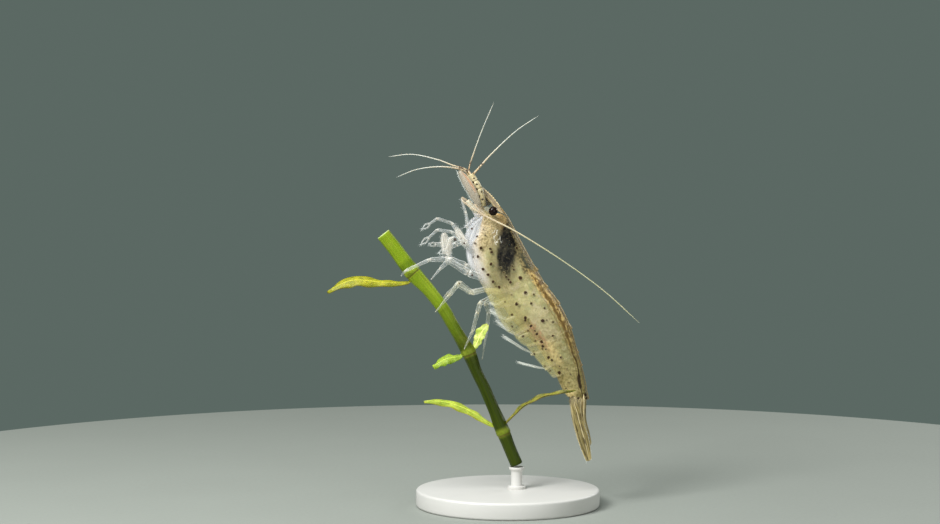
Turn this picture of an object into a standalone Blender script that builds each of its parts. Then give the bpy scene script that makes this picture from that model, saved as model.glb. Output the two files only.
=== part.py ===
"""Amano shrimp gripping a cut stem of a water plant: a still, life-size display model.

The shrimp climbs, head up, with its left flank towards -Y, its back towards +X and its
belly towards -X. It holds the stem with its walking legs, and the stem stands on a short
rod on a round base. The origin is the middle of the underside of that base, and Z is up.

Lengths below are in millimetres. They become metres where a mesh or a curve is made.
"""

import math

import bmesh
import bpy
from mathutils import Matrix, Vector

MM = 0.001                  # metres in one millimetre
GAP = 0.13                  # clear space between pieces that touch
LEFT, RIGHT = -1, 1         # sign of Y on each side of the shrimp
SIDES = (("left", LEFT), ("right", RIGHT))

# ---------------------------------------------------------------- driving dimensions

# The trunk: for each place along the back its x and z, the depth of the body below it
# and half the body's width there.
TRUNK_STATIONS = (
    ("snout", -2.30, 44.25, 4.0, 1.00),
    ("brow", -1.10, 42.40, 4.3, 1.15),
    ("jaw", 0.00, 40.90, 6.2, 1.70),
    ("stomach", 0.85, 39.30, 7.2, 2.10),
    ("heart", 2.50, 36.20, 7.7, 2.45),
    ("carapace_end", 3.90, 33.70, 7.8, 2.50),
    ("pleonite_1_end", 5.35, 31.30, 8.1, 2.50),
    ("pleonite_2_end", 7.05, 29.00, 8.1, 2.40),
    ("pleonite_3_end", 8.75, 25.50, 7.1, 2.10),
    ("pleonite_4_end", 9.75, 22.10, 5.7, 1.75),
    ("pleonite_5_end", 10.30, 20.30, 4.8, 1.50),
    ("pleonite_6_middle", 11.00, 17.30, 4.1, 1.20),
    ("pleonite_6_end", 11.30, 15.40, 3.35, 1.00),
)

# How far each seam between plates bows tailward, at five heights from back to belly.
SEAM_HEIGHTS = (0.0, 0.35, 0.65, 0.85, 1.0)
SEAM_BOWS = {
    "snout": (0.35, 0.35, 0.15, 0.25, 0.50),
    "brow": (0.0, 0.15, -0.10, 0.10, 0.60),
    "carapace_end": (0.0, 0.30, 0.35, -0.20, -1.00),
    "pleonite_1_end": (0.0, 0.00, -0.70, -1.10, -1.30),
    "pleonite_2_end": (0.0, 0.25, 0.90, 1.15, 1.20),
    "pleonite_3_end": (0.0, 0.20, 0.60, 0.60, 0.50),
    "pleonite_4_end": (0.0, 0.20, 0.50, 0.50, 0.40),
    "pleonite_5_end": (0.0, 0.15, 0.50, 0.60, 0.70),
    "pleonite_6_end": (0.0, 0.15, 0.15, 0.10, 0.00),
}

# Cross-sections: height below the back as a share of the depth, and the half width there
# as a share of the widest.
HEAD_SECTION = ((0.36, 0.35), (0.44, 0.75), (0.56, 0.97), (0.70, 1.00), (0.84, 0.85), (0.94, 0.50))
CARAPACE_SECTION = (
    (0.0, 0.0), (0.04, 0.35), (0.12, 0.62), (0.22, 0.80), (0.36, 0.94),
    (0.52, 1.0), (0.68, 0.99), (0.82, 0.88), (0.93, 0.70), (1.0, 0.45),
)
PLEONITE_SECTION = (
    (0.0, 0.0), (0.05, 0.40), (0.16, 0.74), (0.34, 0.94),
    (0.52, 1.0), (0.66, 1.0), (0.84, 0.96), (1.0, 0.86),
)
BELLY_ROW = 5               # row of the section above where the belly is
PLEURON_THICKNESS = 0.5     # side flaps that hang below the belly
PLEURON_ROUNDING = 0.10     # how much the flap's two corners are cut back
LAST_PLEONITE_SECTION = (
    (0.0, 0.0), (0.06, 0.50), (0.20, 0.84), (0.42, 1.0), (0.62, 0.90), (0.78, 0.60), (0.87, 0.0),
)

# The head frame: distances forward of the brow, below the back line, and outward.
HEAD_PITCH = math.radians(33)
ROSTRUM_THICKNESS = 0.5
ROSTRUM_LENGTH = 4.4
ROSTRUM_DROP = 0.52         # how far its upper edge has sunk at the tip
ROSTRUM_TEETH = 9
EYE_RADIUS = 0.66
EYE_PLACES = {"left": (0.05, 1.20, 1.86), "right": (1.55, 1.30, 1.80)}
EYESTALK_ROOT = (0.95, 2.05, 0.45)
EYESTALK_RADIUS = 0.42

# The perch: centre line of the stem with its radius at each point, from the top down.
STEM = (
    (-17.6, 38.5, 1.06), (-15.5, 35.8, 1.04), (-13.4, 33.0, 1.20), (-11.2, 30.6, 0.96),
    (-9.1, 27.9, 0.92), (-7.3, 24.8, 0.88), (-5.6, 21.9, 1.06), (-4.5, 19.2, 0.82),
    (-3.15, 16.4, 0.82), (-2.0, 13.7, 0.84), (-1.0, 11.3, 1.00), (0.05, 8.7, 0.90),
    (1.25, 5.8, 0.90),
)

# The display stand.
BASE_RADIUS = 13.0
BASE_THICKNESS = 2.4
BASE_EDGE = 0.35
ROD_RADIUS = 0.8
ROD_TOP = 5.25

# ---------------------------------------------------------------- curves through points


def smooth(keys, values, place):
    """Value at place on a smooth curve through values (numbers or vectors) set at keys."""
    last = len(keys) - 1
    index = 0
    while index < last - 1 and place > keys[index + 1]:
        index += 1

    def slope(key):
        before, after = max(key - 1, 0), min(key + 1, last)
        return (values[after] - values[before]) / (keys[after] - keys[before])

    span = keys[index + 1] - keys[index]
    share = (place - keys[index]) / span
    if share < 0:
        return values[0] + slope(0) * (place - keys[0])
    if share > 1:
        return values[last] + slope(last) * (place - keys[last])
    square, cube = share ** 2, share ** 3
    return (
        values[index] * (2 * cube - 3 * square + 1)
        + slope(index) * (cube - 2 * square + share) * span
        + values[index + 1] * (3 * square - 2 * cube)
        + slope(index + 1) * (cube - square) * span
    )


def distances(points):
    """Running distance along a list of points."""
    total = [0.0]
    for near, far in zip(points, points[1:]):
        total.append(total[-1] + (far - near).length)
    return total


def swept(points, sizes, count):
    """Evenly spaced points and sizes on the smooth curve through the given ones."""
    reach = distances(points)
    places = [reach[-1] * step / (count - 1) for step in range(count)]
    return (
        [smooth(reach, points, place) for place in places],
        [smooth(reach, sizes, place) for place in places],
    )


def jointed(joints, sizes, bend=0.35):
    """Straight limb sections between joints, each joint rounded by three points."""
    path, radii = [joints[0]], [sizes[0]]
    for index in range(1, len(joints) - 1):
        joint = joints[index]
        enter = joint + (joints[index - 1] - joint).normalized() * bend
        leave = joint + (joints[index + 1] - joint).normalized() * bend
        path += [enter, (enter + joint * 2 + leave) / 4, leave]
        radii += [sizes[index]] * 3
    return path + [joints[-1]], radii + [sizes[-1]]


# ---------------------------------------------------------------- the two body frames


class Trunk:
    """The bent body, read at a distance along the back and a height below it."""

    def __init__(self, stations):
        self.back = [Vector((x, 0, z)) for _, x, z, _, _ in stations]
        self.reach = distances(self.back)
        self.depths = [station[3] for station in stations]
        self.widths = [station[4] for station in stations]
        self.places = {station[0]: along for station, along in zip(stations, self.reach)}

    def point(self, along, height, outward):
        """A point at a share of the depth below the back line, outward from the middle."""
        step = 0.05
        ahead = smooth(self.reach, self.back, along + step)
        behind = smooth(self.reach, self.back, along - step)
        tailward = (ahead - behind).normalized()
        down = Vector((tailward.z, 0, -tailward.x))
        depth = smooth(self.reach, self.depths, along)
        on_back = smooth(self.reach, self.back, along)
        return on_back + down * depth * height + Vector((0, outward, 0))

    def half_width(self, along):
        return smooth(self.reach, self.widths, along)

    def seam(self, place, height, shift):
        """Distance along the back of a seam at a height, moved by half a gap."""
        bow = smooth(SEAM_HEIGHTS, SEAM_BOWS[place], height)
        return self.places[place] + bow + shift


TRUNK = Trunk(TRUNK_STATIONS)
BROW = Vector((TRUNK_STATIONS[1][1], 0, TRUNK_STATIONS[1][2]))
FORWARD = Vector((-math.sin(HEAD_PITCH), 0, math.cos(HEAD_PITCH)))
DOWN = Vector((-math.cos(HEAD_PITCH), 0, -math.sin(HEAD_PITCH)))


def on_head(forward, down, outward, side=RIGHT):
    """A point in the head frame."""
    return BROW + FORWARD * forward + DOWN * down + Vector((0, outward * side, 0))


def at(x, outward, z, side=RIGHT):
    """A point in the model's frame, outward from the middle plane."""
    return Vector((x, outward * side, z))


# ---------------------------------------------------------------- making objects

for thing in list(bpy.data.objects):
    bpy.data.objects.remove(thing)

COLLECTION = bpy.data.collections.new("aquarium_shrimp")
HELPERS = bpy.data.collections.new("helpers")


def material(name, colour, roughness):
    """A plain finish; pieces of the same finish share it."""
    finish = bpy.data.materials.get(name)
    if finish is None:
        finish = bpy.data.materials.new(name)
        finish.use_nodes = True
        shader = finish.node_tree.nodes["Principled BSDF"]
        shader.inputs["Base Color"].default_value = (*colour, 1.0)
        shader.inputs["Roughness"].default_value = roughness
        shader.inputs["Metallic"].default_value = 0.0
    return finish


def shell_finish():
    return material("shell", (0.52, 0.46, 0.33), 0.35)


def limb_finish():
    return material("limb", (0.72, 0.74, 0.70), 0.4)


def feeler_finish():
    return material("feeler", (0.70, 0.64, 0.52), 0.45)


def fin_finish():
    return material("fin", (0.66, 0.66, 0.58), 0.35)


def eye_finish():
    return material("eye", (0.01, 0.008, 0.006), 0.12)


def stem_finish():
    return material("stem", (0.24, 0.33, 0.04), 0.4)


def leaf_finish():
    return material("leaf", (0.42, 0.50, 0.10), 0.45)


def stand_finish():
    return material("stand", (0.80, 0.79, 0.76), 0.5)


def place_object(name, data, finish, collection=None):
    """A named object with its finish, in the model's collection unless told otherwise."""
    made = bpy.data.objects.new(name, data)
    made.data.materials.append(finish)
    (collection or COLLECTION).objects.link(made)
    return made


def loft(name, rings, caps, finish):
    """A closed body: walls between neighbouring rings, and caps on the first and last."""
    shape = bmesh.new()
    levels = [[shape.verts.new(point * MM) for point in ring] for ring in rings]
    count = len(levels[0])
    for near, far in zip(levels, levels[1:]):
        for index in range(count):
            after = (index + 1) % count
            shape.faces.new((near[index], near[after], far[after], far[index]))
    for level in (levels[0], levels[-1]):
        for corners in caps:
            shape.faces.new([level[index] for index in corners])
    bmesh.ops.recalc_face_normals(shape, faces=shape.faces)
    mesh = bpy.data.meshes.new(name)
    shape.to_mesh(mesh)
    shape.free()
    mesh.shade_smooth()
    mesh.set_sharp_from_angle(angle=math.radians(40))
    return place_object(name, mesh, finish)


def tube(name, path, radii, finish, resolution=2):
    """A round rod along a path, with a radius at each point."""
    curve = bpy.data.curves.new(name, "CURVE")
    curve.dimensions = "3D"
    curve.twist_mode = "MINIMUM"
    curve.bevel_depth = MM
    curve.bevel_resolution = resolution
    curve.use_fill_caps = True
    spline = curve.splines.new("POLY")
    spline.points.add(len(path) - 1)
    for point, place, radius in zip(spline.points, path, radii):
        point.co = (*(place * MM), 1.0)
        point.radius = radius
    return place_object(name, curve, finish)


def blade(name, points, half_widths, across, thickness, finish, count=7):
    """A thin leaf-like plate along a path, broad in the direction across."""
    path, widths = swept(points, half_widths, count)
    rings = []
    for index, (middle, width) in enumerate(zip(path, widths)):
        along = path[min(index + 1, count - 1)] - path[max(index - 1, 0)]
        flat = (across - along * across.dot(along) / along.length_squared).normalized()
        upright = along.cross(flat).normalized() * thickness / 2
        edge, shoulder = flat * width, flat * width * 0.6
        rings.append([
            middle + edge, middle + shoulder + upright, middle - shoulder + upright,
            middle - edge, middle - shoulder - upright, middle + shoulder - upright,
        ])
    return loft(name, rings, [range(6)], finish)


# ---------------------------------------------------------------- head and body plates


def closed_rings(front, rear, section, columns):
    """Rings of a body plate that is closed below, from its front seam to its rear seam."""
    keel = section[0][1] == 0
    foot = section[-1][1] == 0
    rings = []
    for column in range(columns + 1):
        share = column / columns
        flanks = {LEFT: [], RIGHT: []}
        for height, width in section:
            start = TRUNK.seam(front, height, GAP / 2)
            end = TRUNK.seam(rear, height, -GAP / 2)
            along = start + (end - start) * share
            for side in (LEFT, RIGHT):
                outward = TRUNK.half_width(along) * width * side
                flanks[side].append(TRUNK.point(along, height, outward))
        other = flanks[RIGHT][::-1]
        if keel:
            other = other[:-1]
        if foot:
            other = other[1:]
        rings.append(flanks[LEFT] + other)
    return rings


def closed_caps(rows, keel, foot):
    """Cap faces that run straight across a closed ring, from side to side."""
    total = 2 * rows - keel - foot

    def opposite(row):
        return row if keel and row == 0 else (2 * rows - 1 - foot - row) % total

    caps = []
    for row in range(rows - 1):
        corners = [row, row + 1, opposite(row + 1), opposite(row)]
        caps.append(list(dict.fromkeys(corners)))
    return caps


def closed_plate(name, front, rear, section, columns, finish):
    keel, foot = section[0][1] == 0, section[-1][1] == 0
    rings = closed_rings(front, rear, section, columns)
    return loft(name, rings, closed_caps(len(section), keel, foot), finish)


def pleonite(number, columns=5):
    """One of the first five tail rings: a body with a thin flap hanging down each side."""
    front = "carapace_end" if number == 1 else f"pleonite_{number - 1}_end"
    rear = f"pleonite_{number}_end"
    last = len(PLEONITE_SECTION) - 1
    rings = []
    for column in range(columns + 1):
        share = column / columns
        corner = 1 - PLEURON_ROUNDING * abs(2 * share - 1) ** 3
        outer, inner = {LEFT: [], RIGHT: []}, {LEFT: [], RIGHT: []}
        for row, (height, width) in enumerate(PLEONITE_SECTION):
            height *= corner if row > BELLY_ROW else 1
            start = TRUNK.seam(front, height, GAP / 2)
            end = TRUNK.seam(rear, height, -GAP / 2)
            along = start + (end - start) * share
            for side in (LEFT, RIGHT):
                reach = TRUNK.half_width(along) * width
                outer[side].append(TRUNK.point(along, height, reach * side))
                inside = (reach - PLEURON_THICKNESS) * side
                inner[side].append(TRUNK.point(along, height, inside))
        rings.append(
            outer[LEFT] + inner[LEFT][:BELLY_ROW - 1:-1]
            + inner[RIGHT][BELLY_ROW:] + outer[RIGHT][:0:-1]
        )
    total = len(rings[0])

    def right(row):
        return total - row if row else 0

    def left_inner(row):
        return 2 * last + 1 - row

    def right_inner(row):
        return total - left_inner(row)

    belly = BELLY_ROW
    caps = [[0, 1, right(1)]]
    for row in range(1, belly - 1):
        caps.append([row, row + 1, right(row + 1), right(row)])
    above = belly - 1
    caps.append([above, belly, left_inner(belly)])
    caps.append([above, left_inner(belly), right_inner(belly), right(above)])
    caps.append([right_inner(belly), right(belly), right(above)])
    for row in range(belly, last):
        caps.append([row, row + 1, left_inner(row + 1), left_inner(row)])
        caps.append([right(row), right(row + 1), right_inner(row + 1), right_inner(row)])
    return loft(f"pleonite_{number}", rings, caps, shell_finish())


def head():
    """The head below the rostrum, with both eyestalks joined to it."""
    made = closed_plate("head", "snout", "brow", HEAD_SECTION, 4, shell_finish())
    for name, side in SIDES:
        root = on_head(*EYESTALK_ROOT, side)
        eye = on_head(*EYE_PLACES[name], side)
        towards = (eye - root).normalized()
        tip = eye - towards * (EYE_RADIUS + GAP)
        shape = bmesh.new()
        bmesh.ops.create_cone(
            shape, cap_ends=True, segments=12, radius1=EYESTALK_RADIUS * MM,
            radius2=EYESTALK_RADIUS * MM, depth=(tip - root).length * MM,
            matrix=Matrix.Translation((root + tip) / 2 * MM)
            @ towards.to_track_quat("Z", "Y").to_matrix().to_4x4(),
        )
        mesh = bpy.data.meshes.new(f"eyestalk_{name}")
        shape.to_mesh(mesh)
        shape.free()
        stalk = place_object(f"eyestalk_{name}", mesh, shell_finish(), HELPERS)
        stalk.hide_render = True
        stalk.display_type = "WIRE"
        joined = made.modifiers.new(f"join_{name}_stalk", "BOOLEAN")
        joined.operation = "UNION"
        joined.object = stalk


def eyes():
    for name, side in SIDES:
        shape = bmesh.new()
        bmesh.ops.create_uvsphere(
            shape, u_segments=14, v_segments=9, radius=EYE_RADIUS * MM,
            matrix=Matrix.Translation(on_head(*EYE_PLACES[name], side) * MM),
        )
        mesh = bpy.data.meshes.new(f"eye_{name}")
        shape.to_mesh(mesh)
        shape.free()
        mesh.shade_smooth()
        place_object(f"eye_{name}", mesh, eye_finish())


def rostrum():
    """The beak between the eyes: a flat outline with saw teeth along its upper edge."""
    rear = 0.14
    lower = [(rear, 1.10), (1.05, 1.06), (2.1, 0.88), (3.4, 0.74)]
    outline = lower + [(ROSTRUM_LENGTH, 0.64)]
    tooth = (ROSTRUM_LENGTH - rear) / (ROSTRUM_TEETH + 1)
    for number in range(ROSTRUM_TEETH, 0, -1):
        forward = rear + tooth * number
        edge = 0.02 + ROSTRUM_DROP * (forward / ROSTRUM_LENGTH) ** 2.2
        outline.append((forward + tooth * 0.5, edge - 0.02))
        outline.append((forward, edge + 0.10))
    outline.append((rear, 0.08))
    curve = bpy.data.curves.new("rostrum", "CURVE")
    curve.dimensions = "2D"
    curve.fill_mode = "BOTH"
    curve.extrude = ROSTRUM_THICKNESS / 2 * MM
    spline = curve.splines.new("POLY")
    spline.points.add(len(outline) - 1)
    spline.use_cyclic_u = True
    for point, (forward, down) in zip(spline.points, outline):
        point.co = (forward * MM, -down * MM, 0, 1)
    made = place_object("rostrum", curve, shell_finish())
    frame = Matrix((FORWARD, -DOWN, FORWARD.cross(-DOWN))).transposed()
    made.matrix_world = Matrix.Translation(BROW * MM) @ frame.to_4x4()


def antennules():
    """The upper pair of feelers: a jointed stalk with two whips on each side."""
    whips = {
        "left": {
            "outer": ((-4.70, 0.98, 47.15), (-2.4, 1.1, 49.7), (1.0, 1.5, 52.9), (4.2, 2.2, 55.1)),
            "inner": ((-5.55, 0.44, 47.40), (-4.9, 0.5, 49.7), (-3.7, 0.9, 53.0), (-2.0, 1.5, 57.0)),
        },
        "right": {
            "outer": (
                (-5.85, 0.98, 47.20), (-7.4, 1.3, 47.75), (-10.0, 1.9, 47.95),
                (-13.1, 3.0, 47.5), (-15.9, 4.2, 46.4),
            ),
            "inner": (
                (-5.95, 0.42, 47.55), (-7.9, 0.5, 48.2), (-9.9, 0.9, 48.95),
                (-13.6, 1.9, 49.7), (-17.0, 3.0, 49.35),
            ),
        },
    }
    stalk = {
        "left": ((2.14, 1.52, 0.76), (3.7, 1.27, 0.76), (6.05, 0.98, 0.70)),
        "right": ((2.14, 1.58, 0.76), (3.7, 1.45, 0.76), (6.10, 1.40, 0.74)),
    }
    for name, side in SIDES:
        path, radii = swept([on_head(*p, side) for p in stalk[name]], [0.52, 0.53, 0.46], 6)
        tube(f"antennule_{name}", path, radii, feeler_finish())
        for place, points in whips[name].items():
            route = [at(*point, side) for point in points]
            sizes = [0.27] + [0.25] * (len(route) - 1)
            path, radii = swept(route, sizes, 10)
            tube(f"antennule_{name}_{place}_whip", path, radii, feeler_finish())


def antennae():
    """The lower pair: a short stalk, a broad scale beside it and a long swept-back whip."""
    whips = {
        "left": (
            on_head(3.45, 3.60, 0.88, LEFT), on_head(3.90, 3.84, 1.35, LEFT),
            on_head(3.35, 3.95, 2.10, LEFT), on_head(1.60, 3.20, 2.45, LEFT),
            on_head(-0.14, 2.36, 2.45, LEFT), at(0.8, 3.0, 39.1, LEFT),
            at(7.3, 4.7, 35.1, LEFT), at(13.0, 6.8, 31.0, LEFT), at(17.9, 9.0, 26.6, LEFT),
        ),
        "right": (
            on_head(3.45, 3.60, 0.88), on_head(3.90, 3.84, 1.35),
            on_head(3.35, 3.95, 2.10), on_head(1.60, 3.20, 2.50),
            on_head(-0.14, 3.10, 2.60), at(-0.8, 3.2, 37.4),
            at(2.6, 4.2, 30.6), at(6.0, 5.6, 23.9), at(8.3, 7.4, 17.2),
        ),
    }
    for name, side in SIDES:
        stalk = [on_head(2.14, 3.36, 0.66, side), on_head(3.05, 3.46, 0.76, side)]
        tube(f"antenna_{name}", stalk, [0.42, 0.38], feeler_finish())
        across = DOWN * 0.86 + Vector((0, 0.50 * side, 0))
        path = [
            on_head(2.14, 2.40, 1.56, side), on_head(4.2, 2.18, 1.96, side),
            on_head(6.2, 2.12, 2.05, side), on_head(7.5, 2.20, 2.08, side),
        ]
        blade(f"antenna_scale_{name}", path, [0.42, 0.80, 0.74, 0.30], across, 0.5, fin_finish())
        sizes = [0.30, 0.28, 0.27] + [0.25] * (len(whips[name]) - 3)
        path, radii = swept(whips[name], sizes, 20)
        tube(f"antenna_{name}_whip", path, radii, feeler_finish())


def maxillipeds():
    """The hindmost mouth limbs, curving forward under the head."""
    route = (
        (-1.15, 5.85, 0.55), (0.3, 5.30, 0.60), (1.55, 4.68, 0.58), (3.1, 4.22, 0.52),
        (3.95, 3.98, 0.42),
    )
    for name, side in SIDES:
        path, radii = swept([on_head(*p, side) for p in route], [0.34, 0.32, 0.28, 0.30, 0.27], 9)
        tube(f"maxilliped_{name}", path, radii, limb_finish())


# ---------------------------------------------------------------- legs and swimmerets

# Each leg from root to tip: x, outward and z of its joints. Left and right differ, since
# each leg has found its own hold on the stem.
LEGS = {
    (1, "left"): (
        (-5.95, 0.85, 36.9), (-6.5, 1.2, 37.6), (-7.9, 1.6, 37.9), (-9.2, 1.7, 37.1),
        (-10.9, 1.6, 37.1),
    ),
    (1, "right"): (
        (-5.95, 0.85, 36.9), (-6.4, 1.3, 37.4), (-7.3, 1.8, 37.0), (-8.6, 2.0, 36.4),
        (-9.6, 1.9, 35.7),
    ),
    (2, "left"): (
        (-5.7, 1.1, 35.4), (-6.3, 2.6, 37.3), (-7.9, 3.0, 38.9), (-9.9, 2.8, 39.2),
        (-12.1, 2.3, 37.2),
    ),
    (2, "right"): (
        (-5.7, 1.1, 35.4), (-6.4, 2.6, 37.9), (-7.9, 2.8, 39.9), (-10.0, 2.7, 40.6),
        (-12.0, 2.3, 39.2),
    ),
    (3, "left"): (
        (-4.5, 1.0, 32.0), (-5.6, 1.5, 33.1), (-8.6, 2.6, 35.1), (-11.0, 2.6, 35.0),
        (-14.4, 1.6, 33.4), (-15.1, 1.0, 32.6),
    ),
    (3, "right"): (
        (-4.5, 1.0, 32.0), (-6.1, 1.6, 33.6), (-8.3, 2.0, 34.5), (-9.6, 1.3, 33.4),
        (-10.9, 0.5, 32.0),
    ),
    (4, "left"): (
        (-3.85, 1.0, 30.7), (-5.1, 1.6, 30.3), (-6.9, 2.3, 31.8), (-8.2, 1.9, 30.0),
        (-10.3, 1.1, 27.5),
    ),
    (4, "right"): (
        (-3.85, 1.0, 30.7), (-5.3, 1.8, 30.1), (-7.0, 2.6, 31.2), (-8.6, 2.3, 29.8),
        (-9.9, 1.45, 28.2),
    ),
    (5, "left"): (
        (-3.35, 0.9, 29.6), (-3.95, 1.4, 28.8), (-4.3, 1.8, 27.6), (-5.0, 1.8, 24.9),
        (-6.2, 1.5, 22.3),
    ),
    (5, "right"): (
        (-3.35, 0.9, 29.6), (-3.1, 1.5, 28.5), (-2.7, 2.0, 27.3), (-2.9, 2.0, 25.3),
        (-3.65, 0.7, 20.6),
    ),
}
LEG_RADII = {
    1: (0.40, 0.42, 0.38, 0.44, 0.30),
    2: (0.36, 0.38, 0.32, 0.30, 0.28),
    3: (0.40, 0.50, 0.46, 0.36, 0.28, 0.25),
    4: (0.38, 0.42, 0.40, 0.32, 0.25),
    5: (0.36, 0.38, 0.36, 0.32, 0.25),
}


def legs():
    """Two pairs with small brush hands, then three pairs of walking legs on the stem."""
    for (number, name), joints in LEGS.items():
        side = dict(SIDES)[name]
        radii = LEG_RADII[number]
        if len(joints) < len(radii):
            radii = radii[:3] + radii[4:]
        path, sizes = jointed([at(*joint, side) for joint in joints], radii)
        tube(f"leg_{number}_{name}", path, sizes, limb_finish())


# Each swimmeret from its root under the belly to its tip: x and z, then how far out it
# stands and half its width.
SWIMMERETS = {
    1: (((-0.20, 29.35), (-1.50, 28.45), (-2.70, 28.90)), 0.95, 0.62),
    2: (((1.30, 27.05), (-0.40, 26.25), (-2.70, 27.90)), 0.95, 0.62),
    3: (((3.05, 24.60), (1.40, 23.85), (-1.80, 26.30)), 0.86, 0.56),
    4: (((4.85, 21.95), (3.20, 21.45), (-0.80, 24.20)), 0.57, 0.36),
    5: (((6.25, 19.85), (5.20, 19.30), (1.30, 20.40)), 0.42, 0.27),
}


def swimmerets():
    """Five pairs of paddles under the tail, all swung forward."""
    for number, (points, outward, width) in SWIMMERETS.items():
        for name, side in SIDES:
            path = [at(x, outward, z, side) for x, z in points]
            sizes = [width * 0.6, width, width * 0.55]
            across = Vector((0, side, 0))
            blade(f"pleopod_{number}_{name}", path, sizes, across, 0.5, fin_finish(), 6)


def tail_fan():
    """The telson in the middle, and two uropods on each side folded in beside it."""
    telson = [at(10.95, 0, 15.05), at(10.95, 0, 12.3), at(11.45, 0, 10.2), at(11.85, 0, 8.4)]
    blade("telson", telson, [0.75, 0.72, 0.52, 0.28], Vector((0, 1, 0)), 0.55, shell_finish())
    fans = {
        "inner": (
            ((10.0, 0.60, 14.85), (10.25, 0.98, 12.0), (10.95, 1.12, 9.3), (11.55, 1.08, 7.0)),
            (0.33, 0.60, 0.60, 0.28), 1.05,
        ),
        "outer": (
            (
                (9.30, 1.15, 14.75), (9.58, 1.72, 13.5), (9.92, 1.98, 12.0), (10.65, 2.10, 9.4),
                (11.40, 1.95, 6.6),
            ),
            (0.40, 0.64, 0.84, 0.86, 0.32), 1.05,
        ),
    }
    for place, (points, widths, roll) in fans.items():
        for name, side in SIDES:
            across = Vector((-math.sin(roll), side * math.cos(roll), 0))
            path = [at(*point, side) for point in points]
            blade(f"uropod_{place}_{name}", path, widths, across, 0.5, fin_finish(), 8)


# ---------------------------------------------------------------- perch and stand


def perch():
    """The cut stem, swollen at its three leaf nodes, and the leaves that grow from them."""
    route = [at(x, 0, z) for x, z, _ in STEM]
    path, radii = swept(route, [radius for _, _, radius in STEM], 27)
    tube("perch_stem", path, radii, stem_finish(), 3)
    leaves = {
        "upper": (
            ((-14.15, 0.0, 31.6), (-17.4, -0.2, 31.6), (-22.0, -0.6, 31.9), (-25.5, -0.9, 30.4)),
            (0.35, 0.70, 1.05, 0.40), (0, 0.70, 0.70),
        ),
        "middle_right": (
            ((-4.35, -0.1, 23.1), (-3.7, -0.2, 24.6), (-2.75, -0.2, 25.7)),
            (0.40, 0.62, 0.30), (-0.8, 0.5, 0.4),
        ),
        "middle_left": (
            ((-6.95, 0.0, 21.1), (-8.7, -0.2, 20.8), (-10.6, -0.3, 19.7)),
            (0.45, 0.80, 0.45), (0, 0.6, 0.8),
        ),
        "lower_left": (
            ((-2.45, 0.0, 11.5), (-5.2, -0.2, 13.3), (-8.4, -0.4, 14.6), (-11.9, -0.5, 14.9)),
            (0.35, 0.62, 0.60, 0.35), (0, 0.6, 0.8),
        ),
        "lower_right": (
            ((0.10, -0.4, 12.2), (2.4, -1.2, 14.4), (5.2, -2.0, 15.8), (9.5, -2.4, 16.6)),
            (0.35, 0.45, 0.45, 0.28), (0, 0.9, 0.4),
        ),
    }
    for place, (points, widths, across) in leaves.items():
        path = [at(*point) for point in points]
        blade(f"perch_leaf_{place}", path, widths, Vector(across), 0.5, leaf_finish())


def turned(name, x, profile, steps, finish):
    """A turned shape about an upright line, from its profile of radius and height."""
    mesh = bpy.data.meshes.new(name)
    points = [(radius * MM, 0, height * MM) for radius, height in profile]
    mesh.from_pydata(points, [(i, i + 1) for i in range(len(points) - 1)], [])
    made = place_object(name, mesh, finish)
    made.location.x = x * MM
    screw = made.modifiers.new("turn", "SCREW")
    screw.steps = steps
    screw.render_steps = steps
    screw.use_merge_vertices = True
    screw.merge_threshold = 0.00001
    screw.use_smooth_shade = False


def stand():
    """A round base with a softened edge, and the short rod that carries the stem."""
    edge = BASE_EDGE
    turned("stand_base", 0.0, (
        (0, BASE_THICKNESS), (BASE_RADIUS - edge, BASE_THICKNESS),
        (BASE_RADIUS, BASE_THICKNESS - edge), (BASE_RADIUS, edge * 0.5),
        (BASE_RADIUS - edge * 0.5, 0), (0, 0),
    ), 48, stand_finish())
    foot = BASE_THICKNESS + GAP
    turned("stand_rod", STEM[-1][0], (
        (0, ROD_TOP), (ROD_RADIUS, ROD_TOP), (ROD_RADIUS, foot + 0.5),
        (ROD_RADIUS * 1.6, foot + 0.35), (ROD_RADIUS * 1.6, foot), (0, foot),
    ), 20, stand_finish())


# ---------------------------------------------------------------- the whole model


def main():
    for collection in (COLLECTION, HELPERS):
        bpy.context.scene.collection.children.link(collection)
    head()
    closed_plate("carapace", "brow", "carapace_end", CARAPACE_SECTION, 9, shell_finish())
    rostrum()
    eyes()
    antennules()
    antennae()
    maxillipeds()
    legs()
    for number in range(1, 6):
        pleonite(number)
    closed_plate(
        "pleonite_6", "pleonite_5_end", "pleonite_6_end", LAST_PLEONITE_SECTION, 5, shell_finish()
    )
    swimmerets()
    tail_fan()
    perch()
    stand()


main()
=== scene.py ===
"""Looks of the aquarium shrimp on its cut stem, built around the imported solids."""
import math
import random

import bpy
import numpy as np
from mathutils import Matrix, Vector


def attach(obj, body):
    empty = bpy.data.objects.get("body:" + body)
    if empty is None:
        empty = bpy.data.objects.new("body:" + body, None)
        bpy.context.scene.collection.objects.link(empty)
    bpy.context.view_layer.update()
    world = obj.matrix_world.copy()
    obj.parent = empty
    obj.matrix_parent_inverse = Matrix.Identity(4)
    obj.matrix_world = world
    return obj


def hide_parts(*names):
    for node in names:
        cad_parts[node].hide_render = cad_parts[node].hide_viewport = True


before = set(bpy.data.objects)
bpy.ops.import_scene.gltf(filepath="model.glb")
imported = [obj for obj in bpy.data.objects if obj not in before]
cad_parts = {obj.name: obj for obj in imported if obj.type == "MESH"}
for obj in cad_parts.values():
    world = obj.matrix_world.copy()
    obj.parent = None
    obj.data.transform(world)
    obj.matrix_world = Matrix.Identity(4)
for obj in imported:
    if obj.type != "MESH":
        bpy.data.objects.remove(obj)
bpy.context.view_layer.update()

MM = 0.001                  # metres in one millimetre; lengths below are in millimetres
LEFT, RIGHT = -1, 1         # sign of Y on each side of the shrimp
SIDES = (("left", LEFT), ("right", RIGHT))
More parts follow.
